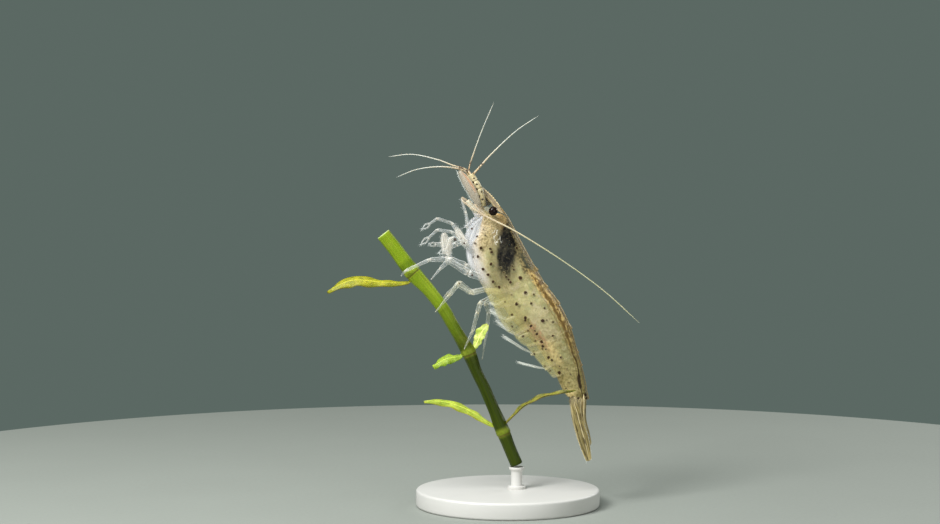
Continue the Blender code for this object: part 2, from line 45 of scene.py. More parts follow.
SIDEWAYS = Vector((0, 1, 0))
CHANCE = random.Random(7)
HAIR_PATCH = 0.003          # width of one hair on its colour map
BODY_CHART = (-3, 40)       # millimetres along the back where the body's chart starts, and its span
LIMB_CHART = 8              # segments of a limb that fill its chart

# ---------------------------------------------------------------- the body's own measures

# Along the back: name, x, z, how deep the body is there and half its width.
TRUNK_STATIONS = (
    ("snout", -2.30, 44.25, 4.0, 1.00),
    ("brow", -1.10, 42.40, 4.3, 1.15),
    ("jaw", 0.00, 40.90, 6.2, 1.70),
    ("stomach", 0.85, 39.30, 7.2, 2.10),
    ("heart", 2.50, 36.20, 7.7, 2.45),
    ("carapace_end", 3.90, 33.70, 7.8, 2.50),
    ("pleonite_1_end", 5.35, 31.30, 8.1, 2.50),
    ("pleonite_2_end", 7.05, 29.00, 8.1, 2.40),
    ("pleonite_3_end", 8.75, 25.50, 7.1, 2.10),
    ("pleonite_4_end", 9.75, 22.10, 5.7, 1.75),
    ("pleonite_5_end", 10.30, 20.30, 4.8, 1.50),
    ("pleonite_6_middle", 11.00, 17.30, 4.1, 1.20),
    ("pleonite_6_end", 11.30, 15.40, 3.35, 1.00),
)
# How far tailward each plate's end bows, at these heights down the flank.
SEAM_HEIGHTS = (0.0, 0.35, 0.65, 0.85, 1.0)
SEAM_BOWS = {
    "brow": (0.0, 0.15, -0.10, 0.10, 0.60),
    "carapace_end": (0.0, 0.30, 0.35, -0.20, -1.00),
    "pleonite_1_end": (0.0, 0.00, -0.70, -1.10, -1.30),
    "pleonite_2_end": (0.0, 0.25, 0.90, 1.15, 1.20),
    "pleonite_3_end": (0.0, 0.20, 0.60, 0.60, 0.50),
    "pleonite_4_end": (0.0, 0.20, 0.50, 0.50, 0.40),
    "pleonite_5_end": (0.0, 0.15, 0.50, 0.60, 0.70),
    "pleonite_6_end": (0.0, 0.15, 0.15, 0.10, 0.00),
}
# Cross-sections from the back down: shares of the depth and of the half width.
CARAPACE_ROWS = (
    (0.0, 0.0), (0.04, 0.35), (0.12, 0.62), (0.22, 0.80), (0.36, 0.94),
    (0.52, 1.0), (0.68, 0.99), (0.82, 0.88), (0.93, 0.70), (1.0, 0.45),
)
PLEONITE_ROWS = (
    (0.0, 0.0), (0.05, 0.40), (0.16, 0.74), (0.34, 0.94),
    (0.52, 1.0), (0.66, 1.0), (0.84, 0.96), (1.0, 0.86),
)
LAST_PLEONITE_ROWS = (
    (0.0, 0.0), (0.06, 0.50), (0.20, 0.84), (0.42, 1.0), (0.62, 0.90), (0.78, 0.60), (0.87, 0.12),
)
TYPICAL_DEPTH, TYPICAL_HALF = 7.5, 2.4  # to measure a cross-section's girth by

# The head frame: forward of the brow, below the back line, and outward.
HEAD_PITCH = math.radians(33)
EYE_PLACES = {"left": (0.05, 1.20, 1.86), "right": (1.55, 1.30, 1.80)}
EYE_RADIUS = 0.66

# ---------------------------------------------------------------- curves through points


def smooth(keys, values, place):
    """Value at place on a smooth curve through values (numbers or vectors) set at keys."""
    last = len(keys) - 1
    index = 0
    while index < last - 1 and place > keys[index + 1]:
        index += 1

    def slope(key):
        before, after = max(key - 1, 0), min(key + 1, last)
        return (values[after] - values[before]) / (keys[after] - keys[before])

    span = keys[index + 1] - keys[index]
    share = (place - keys[index]) / span
    if share < 0:
        return values[0] + slope(0) * (place - keys[0])
    if share > 1:
        return values[last] + slope(last) * (place - keys[last])
    square, cube = share ** 2, share ** 3
    return (
        values[index] * (2 * cube - 3 * square + 1)
        + slope(index) * (cube - 2 * square + share) * span
        + values[index + 1] * (3 * square - 2 * cube)
        + slope(index + 1) * (cube - square) * span
    )


def ease(value, low, high):
    """0 below low, 1 above high, and a soft step between."""
    share = min(max((value - low) / (high - low), 0.0), 1.0)
    return share * share * (3 - 2 * share)


def hump(value, middle, width):
    """1 at the middle, falling off over a width on both sides."""
    return math.exp(-((value - middle) / width) ** 2)


def distances(points):
    """How far along the route each point lies."""
    total = [0.0]
    for near, far in zip(points, points[1:]):
        total.append(total[-1] + (far - near).length)
    return total


class Trunk:
    """The bent body, read at a distance along the back and a height below it."""

    def __init__(self, stations):
        self.back = [Vector((x, 0, z)) for _, x, z, _, _ in stations]
        self.reach = distances(self.back)
        self.depths = [station[3] for station in stations]
        self.widths = [station[4] for station in stations]
        self.places = {station[0]: along for station, along in zip(stations, self.reach)}

    def point(self, along, height, outward):
        """Height is a share of the depth there; outward is in millimetres."""
        step = 0.05
        ahead = smooth(self.reach, self.back, along + step)
        behind = smooth(self.reach, self.back, along - step)
        tailward = (ahead - behind).normalized()
        down = Vector((tailward.z, 0, -tailward.x))
        on_back = smooth(self.reach, self.back, along)
        return on_back + down * self.depth(along) * height + Vector((0, outward, 0))

    def depth(self, along):
        return smooth(self.reach, self.depths, along)

    def half_width(self, along):
        return smooth(self.reach, self.widths, along)

    def seam(self, place, height):
        """How far along a plate's bowed end lies at a height."""
        return self.places[place] + smooth(SEAM_HEIGHTS, SEAM_BOWS[place], height)


class Section:
    """A cross-section of the body: girth runs from -1, left edge, over the back to 1."""

    def __init__(self, rows):
        half = [Vector((w * TYPICAL_HALF, h * TYPICAL_DEPTH, 0)) for h, w in rows]
        girth = [reach / distances(half)[-1] for reach in distances(half)]
        self.keys = [-g for g in girth[:0:-1]] + girth
        self.values = [Vector((-w, h)) for h, w in rows[:0:-1]] + [Vector((w, h)) for h, w in rows]

    def at(self, girth):
        """Share of the half width (signed) and height there."""
        return smooth(self.keys, self.values, girth)


TRUNK = Trunk(TRUNK_STATIONS)
CARAPACE = Section(CARAPACE_ROWS)
PLEONITE = Section(PLEONITE_ROWS)
LAST_PLEONITE = Section(LAST_PLEONITE_ROWS)
BROW = Vector((TRUNK_STATIONS[1][1], 0, TRUNK_STATIONS[1][2]))
FORWARD = Vector((-math.sin(HEAD_PITCH), 0, math.cos(HEAD_PITCH)))
DOWN = Vector((-math.cos(HEAD_PITCH), 0, -math.sin(HEAD_PITCH)))


def on_head(forward, down, outward, side=RIGHT):
    """A point in the head's own frame."""
    return BROW + FORWARD * forward + DOWN * down + Vector((0, outward * side, 0))


def at(x, outward, z, side=RIGHT):
    """A point in the whole model's frame, on one side of the shrimp."""
    return Vector((x, outward * side, z))


def on_body(section, along, girth, lift=0.0):
    """A point of the shell, moved out from it by lift."""
    step = 0.02
    across, height = section.at(girth)
    half, depth = TRUNK.half_width(along), TRUNK.depth(along)
    turn = section.at(min(girth + step, 1)) - section.at(max(girth - step, -1))
    out = Vector((turn.y * depth, -turn.x * half)).normalized() * lift
    return TRUNK.point(along, height + out.y / depth, across * half + out.x)


def body_chart(along, height):
    """Where a point lies on the body's chart: along the back and down the flank."""
    start, span = BODY_CHART
    return (along - start) / span, height


class Line:
    """A smooth route with a size at each place, and the directions across it."""

    def __init__(self, points, sizes, sideways=SIDEWAYS):
        self.points, self.sizes, self.sideways = points, sizes, sideways
        self.reach = distances(points)
        self.length = self.reach[-1]

    def spot(self, share):
        return smooth(self.reach, self.points, share * self.length)

    def size(self, share):
        return max(smooth(self.reach, self.sizes, share * self.length), 0.0)

    def frame(self, share):
        """The place, and the directions across, upright and along there."""
        step = 0.004
        along = (self.spot(min(share + step, 1)) - self.spot(max(share - step, 0))).normalized()
        across = (self.sideways - along * along.dot(self.sideways)).normalized()
        return self.spot(share), across, along.cross(across), along


def head_line(points, sizes, side=RIGHT, sideways=SIDEWAYS):
    """A line through points in the head's own frame."""
    return Line([on_head(*point, side) for point in points], sizes, sideways)


def model_line(points, sizes, side=RIGHT, sideways=SIDEWAYS):
    """A line through points in the whole model's frame."""
    return Line([at(*point, side) for point in points], sizes, sideways)


# ---------------------------------------------------------------- modelling


def clear():
    bpy.ops.object.select_all(action="DESELECT")


def choose(made):
    """Makes a piece the only one selected, and the active one."""
    clear()
    made.select_set(True)
    bpy.context.view_layer.objects.active = made


def fresh(name):
    """The primitive just added, named, with its place moved into its mesh."""
    made = bpy.context.active_object
    made.name = made.data.name = name
    bpy.ops.object.transform_apply(location=True)
    return made


def sheet(name, columns, rows, shape):
    """A grid laid out by shape(u, v), which gives a point and its place on the chart."""
    clear()
    bpy.ops.mesh.primitive_grid_add(x_subdivisions=columns, y_subdivisions=rows, size=2)
    made = bpy.context.active_object
    made.name = made.data.name = name
    mesh = made.data
    places, chart = [], []
    for vertex in mesh.vertices:
        point, mark = shape((vertex.co.x + 1) / 2, (vertex.co.y + 1) / 2)
        places.append(point * MM)
        chart.append(mark)
    for vertex, place in zip(mesh.vertices, places):
        vertex.co = place
    layer = mesh.uv_layers.active
    layer.name = "chart"
    for loop in mesh.loops:
        layer.uv[loop.index].vector = chart[loop.vertex_index]
    bpy.ops.object.mode_set(mode="EDIT")
    bpy.ops.mesh.select_all(action="SELECT")
    bpy.ops.mesh.remove_doubles(threshold=1e-7)
    bpy.ops.mesh.normals_make_consistent(inside=False)
    bpy.ops.object.mode_set(mode="OBJECT")
    bpy.ops.object.shade_smooth()
    return made


def thicken(made, thickness):
    """Gives an open sheet a wall on its inner side."""
    choose(made)
    wall = made.modifiers.new("wall", "SOLIDIFY")
    wall.thickness = thickness * MM
    wall.offset = -1.0
    bpy.ops.object.modifier_apply(modifier=wall.name)
    return made


# How a rod closes: shares of its length from the end, and shares of its radius there.
ROD_TIPS = {
    "round": [(0, 0), (0.002, 0.5), (0.006, 0.85)],
    "cut": [(0, 0), (0, 0.93), (0.002, 1.0)],
}


def rod(name, line, count, around, relief=None, flat=1.0, ends="round", chart=None):
    """A closed rod along a line; relief(share, angle) swells or pinches it.

    Its ends are "round" or "cut"; chart(share) gives the place on the chart if it isn't the share.
    """
    tip = ROD_TIPS[ends]
    inner = [(0.012 + 0.976 * step / (count - 1), 1.0) for step in range(count)]
    stations = tip + inner + [(1 - share, left) for share, left in reversed(tip)]
    frames = [line.frame(share) for share, _ in stations]
    sizes = [line.size(share) * left for share, left in stations]

    def shape(u, v):
        row = round(v * (len(stations) - 1))
        middle, across, upright, _ = frames[row]
        angle = 2 * math.pi * u
        share = stations[row][0]
        size = sizes[row] * (relief(share, angle) if relief else 1.0)
        point = middle + across * math.cos(angle) * size * flat + upright * math.sin(angle) * size
        return point, (u, chart(share) if chart else share)

    return sheet(name, around, len(stations) - 1, shape)


def blade(name, line, thickness, count, around, warp=None, edge=None):
    """A thin closed plate along a line; warp(share, across) bends it, edge() shapes its rim."""
    shares = [step / (count - 1) for step in range(count)]
    frames = [line.frame(share) for share in shares]

    def shape(u, v):
        row = round(v * (count - 1))
        share = shares[row]
        middle, across, upright, _ = frames[row]
        angle = 2 * math.pi * u
        width = math.cos(angle)
        size = line.size(share) * (edge(share, width) if edge else 1.0)
        if row in (0, count - 1):
            size = 0.0
        thinned = min(1.0, 16 * share * (1 - share))
        lens = math.sin(angle) * thickness / 2 * thinned
        rise = warp(share, width) if warp else 0.0
        point = middle + across * width * size + upright * (lens * (size > 0) + rise)
        return point, (width / 2 + 0.5, share)

    return sheet(name, around, count - 1, shape)


def dished(rise):
    """A warp that lifts both edges of a blade (or lowers them, where rise is negative)."""
    return lambda share, width: rise * width * width


HAIRS = {"limb": [], "fin": [], "feeler": []}


def sow(kind, root, direction, length, thickness, bend=0.2):
    """Notes a fine hair, to be grown with its fellows at the end."""
    HAIRS[kind].append((root, direction, length, thickness, bend))


def bristles(name, hairs):
    """Fine hairs as one mesh; each is a three-sided spike, bent once."""
    clear()
    bpy.ops.mesh.primitive_cone_add(
        vertices=3, radius1=0.5, radius2=0.08, depth=1, location=(0, 0, 0.5))
    seed = fresh("spike")
    bpy.ops.object.mode_set(mode="EDIT")
    bpy.ops.mesh.select_all(action="SELECT")
    bpy.ops.mesh.bisect(plane_co=(0, 0, 0.5), plane_no=(0, 0, 1))
    bpy.ops.object.mode_set(mode="OBJECT")
    base = np.array([v.co for v in seed.data.vertices])
    faces = [list(p.vertices) for p in seed.data.polygons]
    bpy.data.objects.remove(seed)
    verts, polys, patches = [], [], []
    columns = math.ceil(math.sqrt(len(hairs)))
    for index, (root, direction, length, thickness, bend) in enumerate(hairs):
        along = direction.normalized()
        side = along.cross(SIDEWAYS if abs(along.y) < 0.9 else FORWARD).normalized()
        turn = np.array([side, along.cross(side), along])
        local = base * np.array([thickness, thickness, length])
        local[:, 0] += CHANCE.uniform(0.4, 1.0) * bend * length * base[:, 2] ** 2
        verts.append(local @ turn + np.array(root))
        polys += [[corner + index * len(base) for corner in face] for face in faces]
        middle = np.array([index % columns + 0.5, index // columns + 0.5]) / columns
        patches.append(middle + (base[:, (0, 2)] - (0, 0.5)) * HAIR_PATCH)
    mesh = bpy.data.meshes.new(name)
    mesh.from_pydata((np.concatenate(verts) * MM).tolist(), [], polys)
    patches = np.concatenate(patches)
    layer = mesh.uv_layers.new(name="OFBake")
    for loop in mesh.loops:
        layer.uv[loop.index].vector = patches[loop.vertex_index]
    mesh.shade_smooth()
    made = bpy.data.objects.new(name, mesh)
    bpy.context.scene.collection.objects.link(made)
    return made


def grow(kind, pale, deep):
    """All the noted hairs of a kind, as one piece."""
    finish = hair_finish(f"{kind}_hair", pale, deep)
    keep(painted(bristles(f"{kind}_hairs", HAIRS[kind]), finish), kind)


def join(name, pieces):
    """Several meshes made one object; each keeps its finish."""
    clear()
    for piece in pieces:
        piece.select_set(True)
    bpy.context.view_layer.objects.active = pieces[0]
    if len(pieces) > 1:
        bpy.ops.object.join()
    made = bpy.context.active_object
    made.name = made.data.name = name
    return made


def painted(made, finish):
    """The piece with its finish on."""
    made.data.materials.clear()
    made.data.materials.append(finish)
    return made


def keep(made, slot, *nodes):
    """Fixes a finished piece to the model, in the place of the solids it stands for."""
    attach(made, "root")
    if nodes:
        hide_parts(*nodes)


# ---------------------------------------------------------------- finishes


def arithmetic(operation, reflected=False):
    def apply(value, other):
        pair = (other, value) if reflected else (value, other)
        return value.finish.math(operation, *pair)
    return apply


class Value:
    """A socket whose value changes over a surface; arithmetic on it adds Math nodes."""

    __add__, __radd__ = arithmetic("ADD"), arithmetic("ADD", True)
    __sub__, __rsub__ = arithmetic("SUBTRACT"), arithmetic("SUBTRACT", True)
    __mul__, __rmul__ = arithmetic("MULTIPLY"), arithmetic("MULTIPLY", True)
    __truediv__, __pow__ = arithmetic("DIVIDE"), arithmetic("POWER")

    def __init__(self, finish, socket):
        self.finish, self.socket = finish, socket

    def __abs__(self):
        return self.finish.math("ABSOLUTE", self)


class Finish:
    """A material under construction."""

    def __init__(self, name):
        self.material = bpy.data.materials.new(name)
        self.material.use_nodes = True
        self.tree = self.material.node_tree
        self.shader = self.tree.nodes["Principled BSDF"]
        self.colour = None

    def node(self, kind, settings, inputs, output=0):
        """A node with its settings and inputs; gives the named or numbered output."""
        made = self.tree.nodes.new("ShaderNode" + kind)
        for key, value in settings.items():
            setattr(made, key, value)
        self.feed(made, inputs)
        return Value(self, made.outputs[output])

    def feed(self, node, inputs):
        for key, value in inputs.items():
            socket = node.inputs[key]
            if isinstance(value, Value):
                self.tree.links.new(value.socket, socket)
            elif socket.type == "RGBA":
                socket.default_value = (*value, 1.0)[:4]
            else:
                socket.default_value = value

    def math(self, operation, *values):
        return self.node("Math", {"operation": operation}, dict(enumerate(values)))

    def most(self, *values):
        """The greatest of the values."""
        greatest = values[0]
        for value in values[1:]:
            greatest = self.math("MAXIMUM", greatest, value)
        return greatest

    def cover(self, *values):
        """How solid the surface is: the greatest of the values, kept from passing 1."""
        return self.math("MINIMUM", self.most(*values), 1.0)

    def place(self):
        """Object coordinates in millimetres."""
        raw = self.node("TexCoord", {}, {}, "Object")
        return self.node("VectorMath", {"operation": "SCALE"}, {0: raw, "Scale": 1 / MM})

    def parts(self, vector):
        made = self.node("SeparateXYZ", {}, {0: vector}).socket.node
        return [Value(self, socket) for socket in made.outputs]

    def chart(self):
        """The piece's own two-way chart."""
        return self.parts(self.node("UVMap", {"uv_map": "chart"}, {}))[:2]

    def noise(self, size, detail=2.0, stretch=None, output=0):
        """Cloudy pattern with patches of a size in millimetres."""
        vector = self.place()
        if stretch:
            vector = self.node("VectorMath", {"operation": "MULTIPLY"}, {0: vector, 1: stretch})
        inputs = {"Vector": vector, "Scale": 1 / size, "Detail": detail}
        return self.node("TexNoise", {}, inputs, output)

    def cells(self, size):
        """How far a point is from the middle of its cell, for cells of a size."""
        inputs = {"Vector": self.place(), "Scale": 1 / size}
        return self.node("TexVoronoi", {}, inputs, "Distance")

    def charted(self, first, second, detail=2.0, apart=0.0):
        """Noise laid on a piece's chart: each of its two ways with its own closeness."""
        ways = {0: first[0] * first[1], 1: second[0] * second[1], 2: apart}
        vector = self.node("CombineXYZ", {}, ways)
        return self.node("TexNoise", {}, {"Vector": vector, "Scale": 1.0, "Detail": detail})

    def step(self, value, low, high):
        """0 below low and 1 above high, softly; falls instead where low is above high."""
        first, last = (0.0, 1.0) if low < high else (1.0, 0.0)
        return self.node("MapRange", {"interpolation_type": "SMOOTHSTEP"}, {
            "Value": value, "From Min": min(low, high), "From Max": max(low, high),
            "To Min": first, "To Max": last,
        })

    def band(self, value, middle, width, soft):
        """1 within a width of the middle, fading over a soft edge."""
        return self.step(abs(value - middle) - width, soft, 0.0)

    def mix(self, share, low, high):
        """The colour a share of the way from low to high."""
        return self.node("Mix", {"data_type": "RGBA"}, {0: share, 6: low, 7: high}, 2)

    def tones(self, value, low, high, first, last):
        """One colour where the value is low and another where it is high."""
        return self.mix(self.step(value, low, high), first, last)

    def lay(self, share, tone):
        """Paints a tone over the colour so far."""
        self.colour = self.mix(share, self.colour, tone)

    def marks(self, places, ragged=0.12, flat=False):
        """1 on small round marks at (x, out from the middle, z, radius), alike on both sides.

        Flat marks go right through from side to side, whatever lies at their x and z.
        """
        x, y, z = self.parts(self.place())
        folded = self.node("CombineXYZ", {}, {0: x, 1: 0.0 if flat else abs(y), 2: z})
        sway = self.noise(0.35, 1.0, output="Color")
        shifted = self.node("VectorMath", {"operation": "MULTIPLY_ADD"}, {
            0: sway, 1: (ragged * 2,) * 3, 2: folded,
        })
        nearest = None
        for px, py, pz, radius in places:
            centre = (px + ragged, ragged + (0.0 if flat else py), pz + ragged)
            ends = {0: shifted, 1: centre}
            gap = self.node("VectorMath", {"operation": "DISTANCE"}, ends, "Value") - radius
            nearest = gap if nearest is None else self.math("MINIMUM", nearest, gap)
        return self.step(nearest, 0.03, -0.05)

    def rim(self, blend):
        """Towards 1 where the surface turns away."""
        return self.node("LayerWeight", {}, {"Blend": blend}, "Facing")

    def bump(self, height, strength, distance):
        inputs = {"Strength": strength, "Distance": distance * MM, "Height": height}
        return self.node("Bump", {}, inputs)

    def surface(self, **sockets):
        """The finished material, with the shader's own sockets set or fed."""
        self.feed(self.shader, {key.replace("_", " "): value for key, value in sockets.items()})
        return self.material


def soft(weight, depth, radius):
    """Settings for light that sinks in, to a depth in metres."""
    return {"Subsurface_Weight": weight, "Subsurface_Scale": depth, "Subsurface_Radius": radius}


BROWN = (0.030, 0.014, 0.007)
LIMB_BROWN = (0.06, 0.026, 0.012)
GLASSY = soft(0.2, 0.0004, (1.0, 0.9, 0.8))
WHITE = (1.0, 1.0, 0.97)


# Patches of colour in the flesh: middle and half width along the back, the same down the
# flank, strength and tone.
FLESH_PATCHES = (
    (14.5, 2.0, 0.74, 0.10, 0.70, (0.50, 0.44, 0.19)),
    (20.5, 3.2, 0.74, 0.10, 0.75, (0.30, 0.24, 0.085)),
    (20.0, 2.6, 0.42, 0.10, 0.50, (0.52, 0.45, 0.27)),
    (28.0, 2.6, 0.42, 0.18, 0.65, (0.34, 0.35, 0.18)),
    (24.8, 1.2, 0.66, 0.16, 0.85, (0.64, 0.51, 0.23)),
)


def flesh_finish():
    """Muscle and organs: creamy, with a dark stomach, a golden brow and a brown gut."""
    f = Finish("flesh")
    start, span = BODY_CHART
    across, height = f.chart()
    along = across * span + start
    cloud = f.noise(1.0, 4.0)
    fine = f.noise(0.26, 3.0)
    wisps = f.noise(0.55, 4.0, stretch=(1.0, 1.0, 0.5))
    strands = f.step(f.charted((along, 1.5), (height, 24), 3.0), 0.42, 0.60)
    tail = f.step(along, 23.0, 29.0)
    paint_muscle(f, along, height, cloud, fine)
    paint_front(f, along, height, fine)
    paint_back(f, along, height, cloud, fine, strands, tail)
    paint_gut(f, along, height, fine, wisps, strands, tail)
    paint_stomach(f, along, height, cloud, fine, wisps)
    return f.surface(
        Base_Color=f.colour, Roughness=0.45, Normal=f.bump(wisps, 0.35, 0.10),
        Specular_IOR_Level=0.15, **soft(0.15, 0.0004, (1.0, 0.75, 0.5)),
    )


def paint_muscle(f, along, height, cloud, fine):
    """Cream to olive muscle with pinkish and greenish tints, duller low down and aft."""
    bright = f.tones(cloud, 0.35, 0.65, (0.31, 0.28, 0.12), (0.47, 0.43, 0.20))
    dull = f.tones(cloud, 0.35, 0.65, (0.22, 0.185, 0.055), (0.40, 0.345, 0.14))
    low = f.step(height + (along - 17.0) * 0.02 + (cloud - 0.5) * 0.3, 0.50, 0.80)
    low = low * f.step(along, 13.5, 16.5)
    aft = f.step(along + (cloud - 0.5) * 4.0, 15.5, 24.0)
    f.colour = f.mix(f.most(low, aft * 0.8), bright, dull)
    tint = f.noise(0.85, 3.0)
    f.lay(f.step(tint, 0.52, 0.64) * 0.40, (0.56, 0.47, 0.33))
    f.lay(f.step(tint, 0.48, 0.36) * 0.40, (0.31, 0.34, 0.17))
    for middle, width, level, depth, amount, tone in FLESH_PATCHES:
        patch = f.band(along + (cloud - 0.5) * 3.0, middle, width, 2.0)
        patch = patch * f.band(height + (fine - 0.5) * 0.2, level, depth, 0.12)
        f.lay(patch * amount, tone)
    mottle = f.step(f.noise(0.42, 4.0), 0.42, 0.62)
    f.lay(mottle * (0.22 + aft * 0.25), f.mix(aft, (0.30, 0.26, 0.13), (0.13, 0.10, 0.03)))


def paint_front(f, along, height, fine):
    """The pale glow of the gills, the olive cheek and the golden brow."""
    cream = f.tones(fine, 0.35, 0.65, (0.46, 0.37, 0.25), (0.66, 0.56, 0.44))
    gills = f.step(height - (along - 4.0) * 0.035, 0.50, 0.78) * f.step(along, 15.5, 9.5)
    f.lay(gills, f.mix(f.step(height, 0.74, 0.92), cream, (0.58, 0.57, 0.56)))
    cheek = f.step(height, 0.86, 0.66) * f.band(along, 4.2, 1.8, 1.2)
    f.lay(cheek * 0.85, f.tones(fine, 0.40, 0.60, (0.22, 0.165, 0.075), (0.48, 0.38, 0.20)))
    brow = f.step(height + (fine - 0.5) * 0.10, 0.30, 0.16) * f.step(along, 6.2, 4.8)
    f.lay(brow, f.tones(fine, 0.34, 0.54, (0.48, 0.25, 0.06), (0.98, 0.70, 0.30)))


def paint_back(f, along, height, cloud, fine, strands, tail):
    """The tan back, the rusty saddle, the darker tail with its pale root, and the heart."""
    back = f.step(height + (cloud - 0.5) * 0.12, 0.27, 0.17) * f.step(along, 6.5, 8.5)
    tan = f.tones(fine, 0.42, 0.60, (0.060, 0.045, 0.020), (0.34, 0.26, 0.11))
    f.lay(back * f.step(along, 13.5, 11.5) * 0.95, tan)
    saddle = f.step(height + (fine - 0.5) * 0.14, 0.19, 0.12) * f.step(along, 11.4, 12.6)
    saddle = saddle * (1 - f.step(along, 18.0, 30.0) * 0.4)
    f.lay(saddle * 0.95, f.mix(strands, (0.18, 0.095, 0.022), (0.74, 0.51, 0.18)))
    f.lay(tail * 0.75, f.tones(fine, 0.35, 0.65, (0.20, 0.16, 0.05), (0.42, 0.34, 0.14)))
    root = f.band(along, 31.8, 0.6, 1.2) * f.step(height, 0.35, 0.60) * 0.8
    f.lay(root, f.tones(fine, 0.35, 0.65, (0.48, 0.36, 0.13), (0.80, 0.64, 0.30)))
    heart = f.band(along + height * 10, 11.6, 1.0, 0.6) * f.step(height, 0.17, 0.11)
    f.lay(heart * 0.95, f.mix(fine, (0.015, 0.020, 0.016), (0.09, 0.10, 0.07)))


def paint_gut(f, along, height, fine, wisps, strands, tail):
    """The brown gut under the back, ending in a dark dash, and a blush on the flank."""
    depth = 0.100 + f.step(along, 15.5, 19.0) * 0.022 + f.step(along, 27.0, 30.5) * 0.085
    waver = height - depth - (wisps - 0.5) * 0.07
    dash = f.band(along, 29.7, 0.7, 0.5)
    gut = f.step(abs(waver) + tail * 0.012 - dash * 0.035, 0.042, 0.012)
    gut = gut * f.step(along, 13.5, 15.5) * (0.25 + strands * 0.30 + fine * 0.75 + tail * 0.4)
    f.lay(gut, f.mix(tail, (0.13, 0.075, 0.020), (0.035, 0.020, 0.008)))
    thread = f.band(waver, 0.072, 0.004, 0.012) * f.step(along, 15.0, 17.0)
    f.lay(thread * 0.6, (0.20, 0.13, 0.04))
    blush = f.band(along, 21.4, 1.6, 2.2) * f.band(height + (fine - 0.5) * 0.1, 0.66, 0.02, 0.13)
    f.lay(blush * (0.12 + f.step(fine, 0.42, 0.62) * 0.42), (0.75, 0.34, 0.22))


def paint_stomach(f, along, height, cloud, fine, wisps):
    """The dark stomach in its haze, with blots and pale curls before it, and fine flecks."""
    reach = (along - 7.8) / 3.25
    drop = (height - 0.115 - (along - 5.0) * 0.070) / 0.205
    spread = reach * reach + drop * drop + (wisps - 0.5) * 1.1
    haze = f.step(spread, 4.4, 0.9)
    f.lay(haze * 0.70, f.mix(fine, (0.07, 0.056, 0.026), (0.24, 0.20, 0.10)))
    organ = f.step(spread + drop * 0.15, 1.45, 0.55) * (1.0 - f.step(fine, 0.58, 0.70) * 0.22)
    streak = f.band(height + (fine - 0.5) * 0.12, 0.17, 0.03, 0.06) * f.band(along, 4.3, 0.8, 0.8)
    dark = f.most(organ, streak * 0.30)
    f.lay(dark, f.tones(wisps, 0.45, 0.7, (0.003, 0.003, 0.003), (0.028, 0.024, 0.017)))
    f.lay(f.step(height, 0.045, 0.030) * f.band(along, 8.5, 3.0, 1.5), (0.10, 0.08, 0.035))
    blots = f.step(fine + (cloud - 0.5) * 0.4, 0.56, 0.64) * f.band(along, 3.9, 1.0, 0.8)
    f.lay(blots * f.step(height, 0.60, 0.45) * 0.75, (0.15, 0.075, 0.025))
    curls = f.step(abs(wisps - 0.5), 0.030, 0.008) * f.band(along, 5.7, 0.9, 0.3)
    f.lay(curls * f.band(height, 0.385, 0.05, 0.04) * 0.75, (0.80, 0.78, 0.68))
    ridge = f.step(height, 0.105, 0.080) * f.band(along, 9.0, 4.0, 1.0)
    f.lay(ridge * f.step(fine, 0.40, 0.60) * 0.55, (0.42, 0.31, 0.13))
    flecks = f.step(f.noise(0.13, 2.0), 0.54, 0.68)
    f.lay(flecks * (0.42 - dark * 0.36), (0.15, 0.105, 0.045))


def shell_finish(name, marks, skirt, fringe):
    """Clear cuticle with brown marks, a paler crest that is partly painted highlight, and a milkier
    lower edge.
    """
    f = Finish(name)
    share, height = f.chart()
    cloud = f.noise(0.8, 3.0)
    fine = f.noise(0.16, 2.0)
    low = f.step(height, skirt - 0.06, skirt + 0.12)
    # The crest: a thin line along the top, paler partly in its own right and partly as painted
    # highlight.
    crest = f.step(height + (fine - 0.5) * 0.03, 0.018, 0.006)
    hem = f.step(share, 0.925, 0.965) * f.step(fine, 0.30, 0.55)
    crown = f.step(height + (cloud - 0.5) * 0.04, 0.11, 0.02)
    rim = f.rim(0.35)
    f.colour = f.mix(cloud, (0.42, 0.36, 0.14), (0.74, 0.68, 0.38))
    f.lay(low * f.step(share, 0.98, 0.75), fringe)
    # Painted highlight along the crest, over its own paler tone.
    f.lay(crest, f.tones(fine, 0.36, 0.56, (0.55, 0.38, 0.14), (1.0, 0.92, 0.62)))
    f.lay(hem, f.mix(cloud, (0.34, 0.24, 0.10), (0.72, 0.62, 0.38)))
    f.lay(crown * 0.85, f.tones(fine, 0.40, 0.60, (0.26, 0.15, 0.030), (0.66, 0.45, 0.13)))
    specks = f.step(f.cells(0.34), 0.125, 0.085) * f.step(f.noise(1.2, 2.0), 0.48, 0.58)
    dust = f.step(f.cells(0.11), 0.030, 0.018)
    dots = f.most(specks * 0.75, dust * 0.5, f.marks(marks))
    halo = f.marks([(x, y, z, radius + 0.10) for x, y, z, radius in marks])
    f.lay(halo * 0.6, (0.13, 0.08, 0.03))
    f.lay(dots, BROWN)
    veil = (cloud - 0.5) * 0.06 + low * 0.20 + (rim ** 3) * 0.08 + hem * 0.10
    veil = veil + crest * (0.30 + f.step(cloud, 0.32, 0.52) * 0.45) + crown * (rim ** 2) * 0.60
    return f.surface(
        Base_Color=f.colour, Alpha=f.cover(veil, dots, halo * 0.25), Roughness=0.22 + fine * 0.14,
        Normal=f.bump(fine, 0.25, 0.02), Specular_IOR_Level=0.14,
        **soft(0.1, 0.0003, (1.0, 0.8, 0.6)),
    )


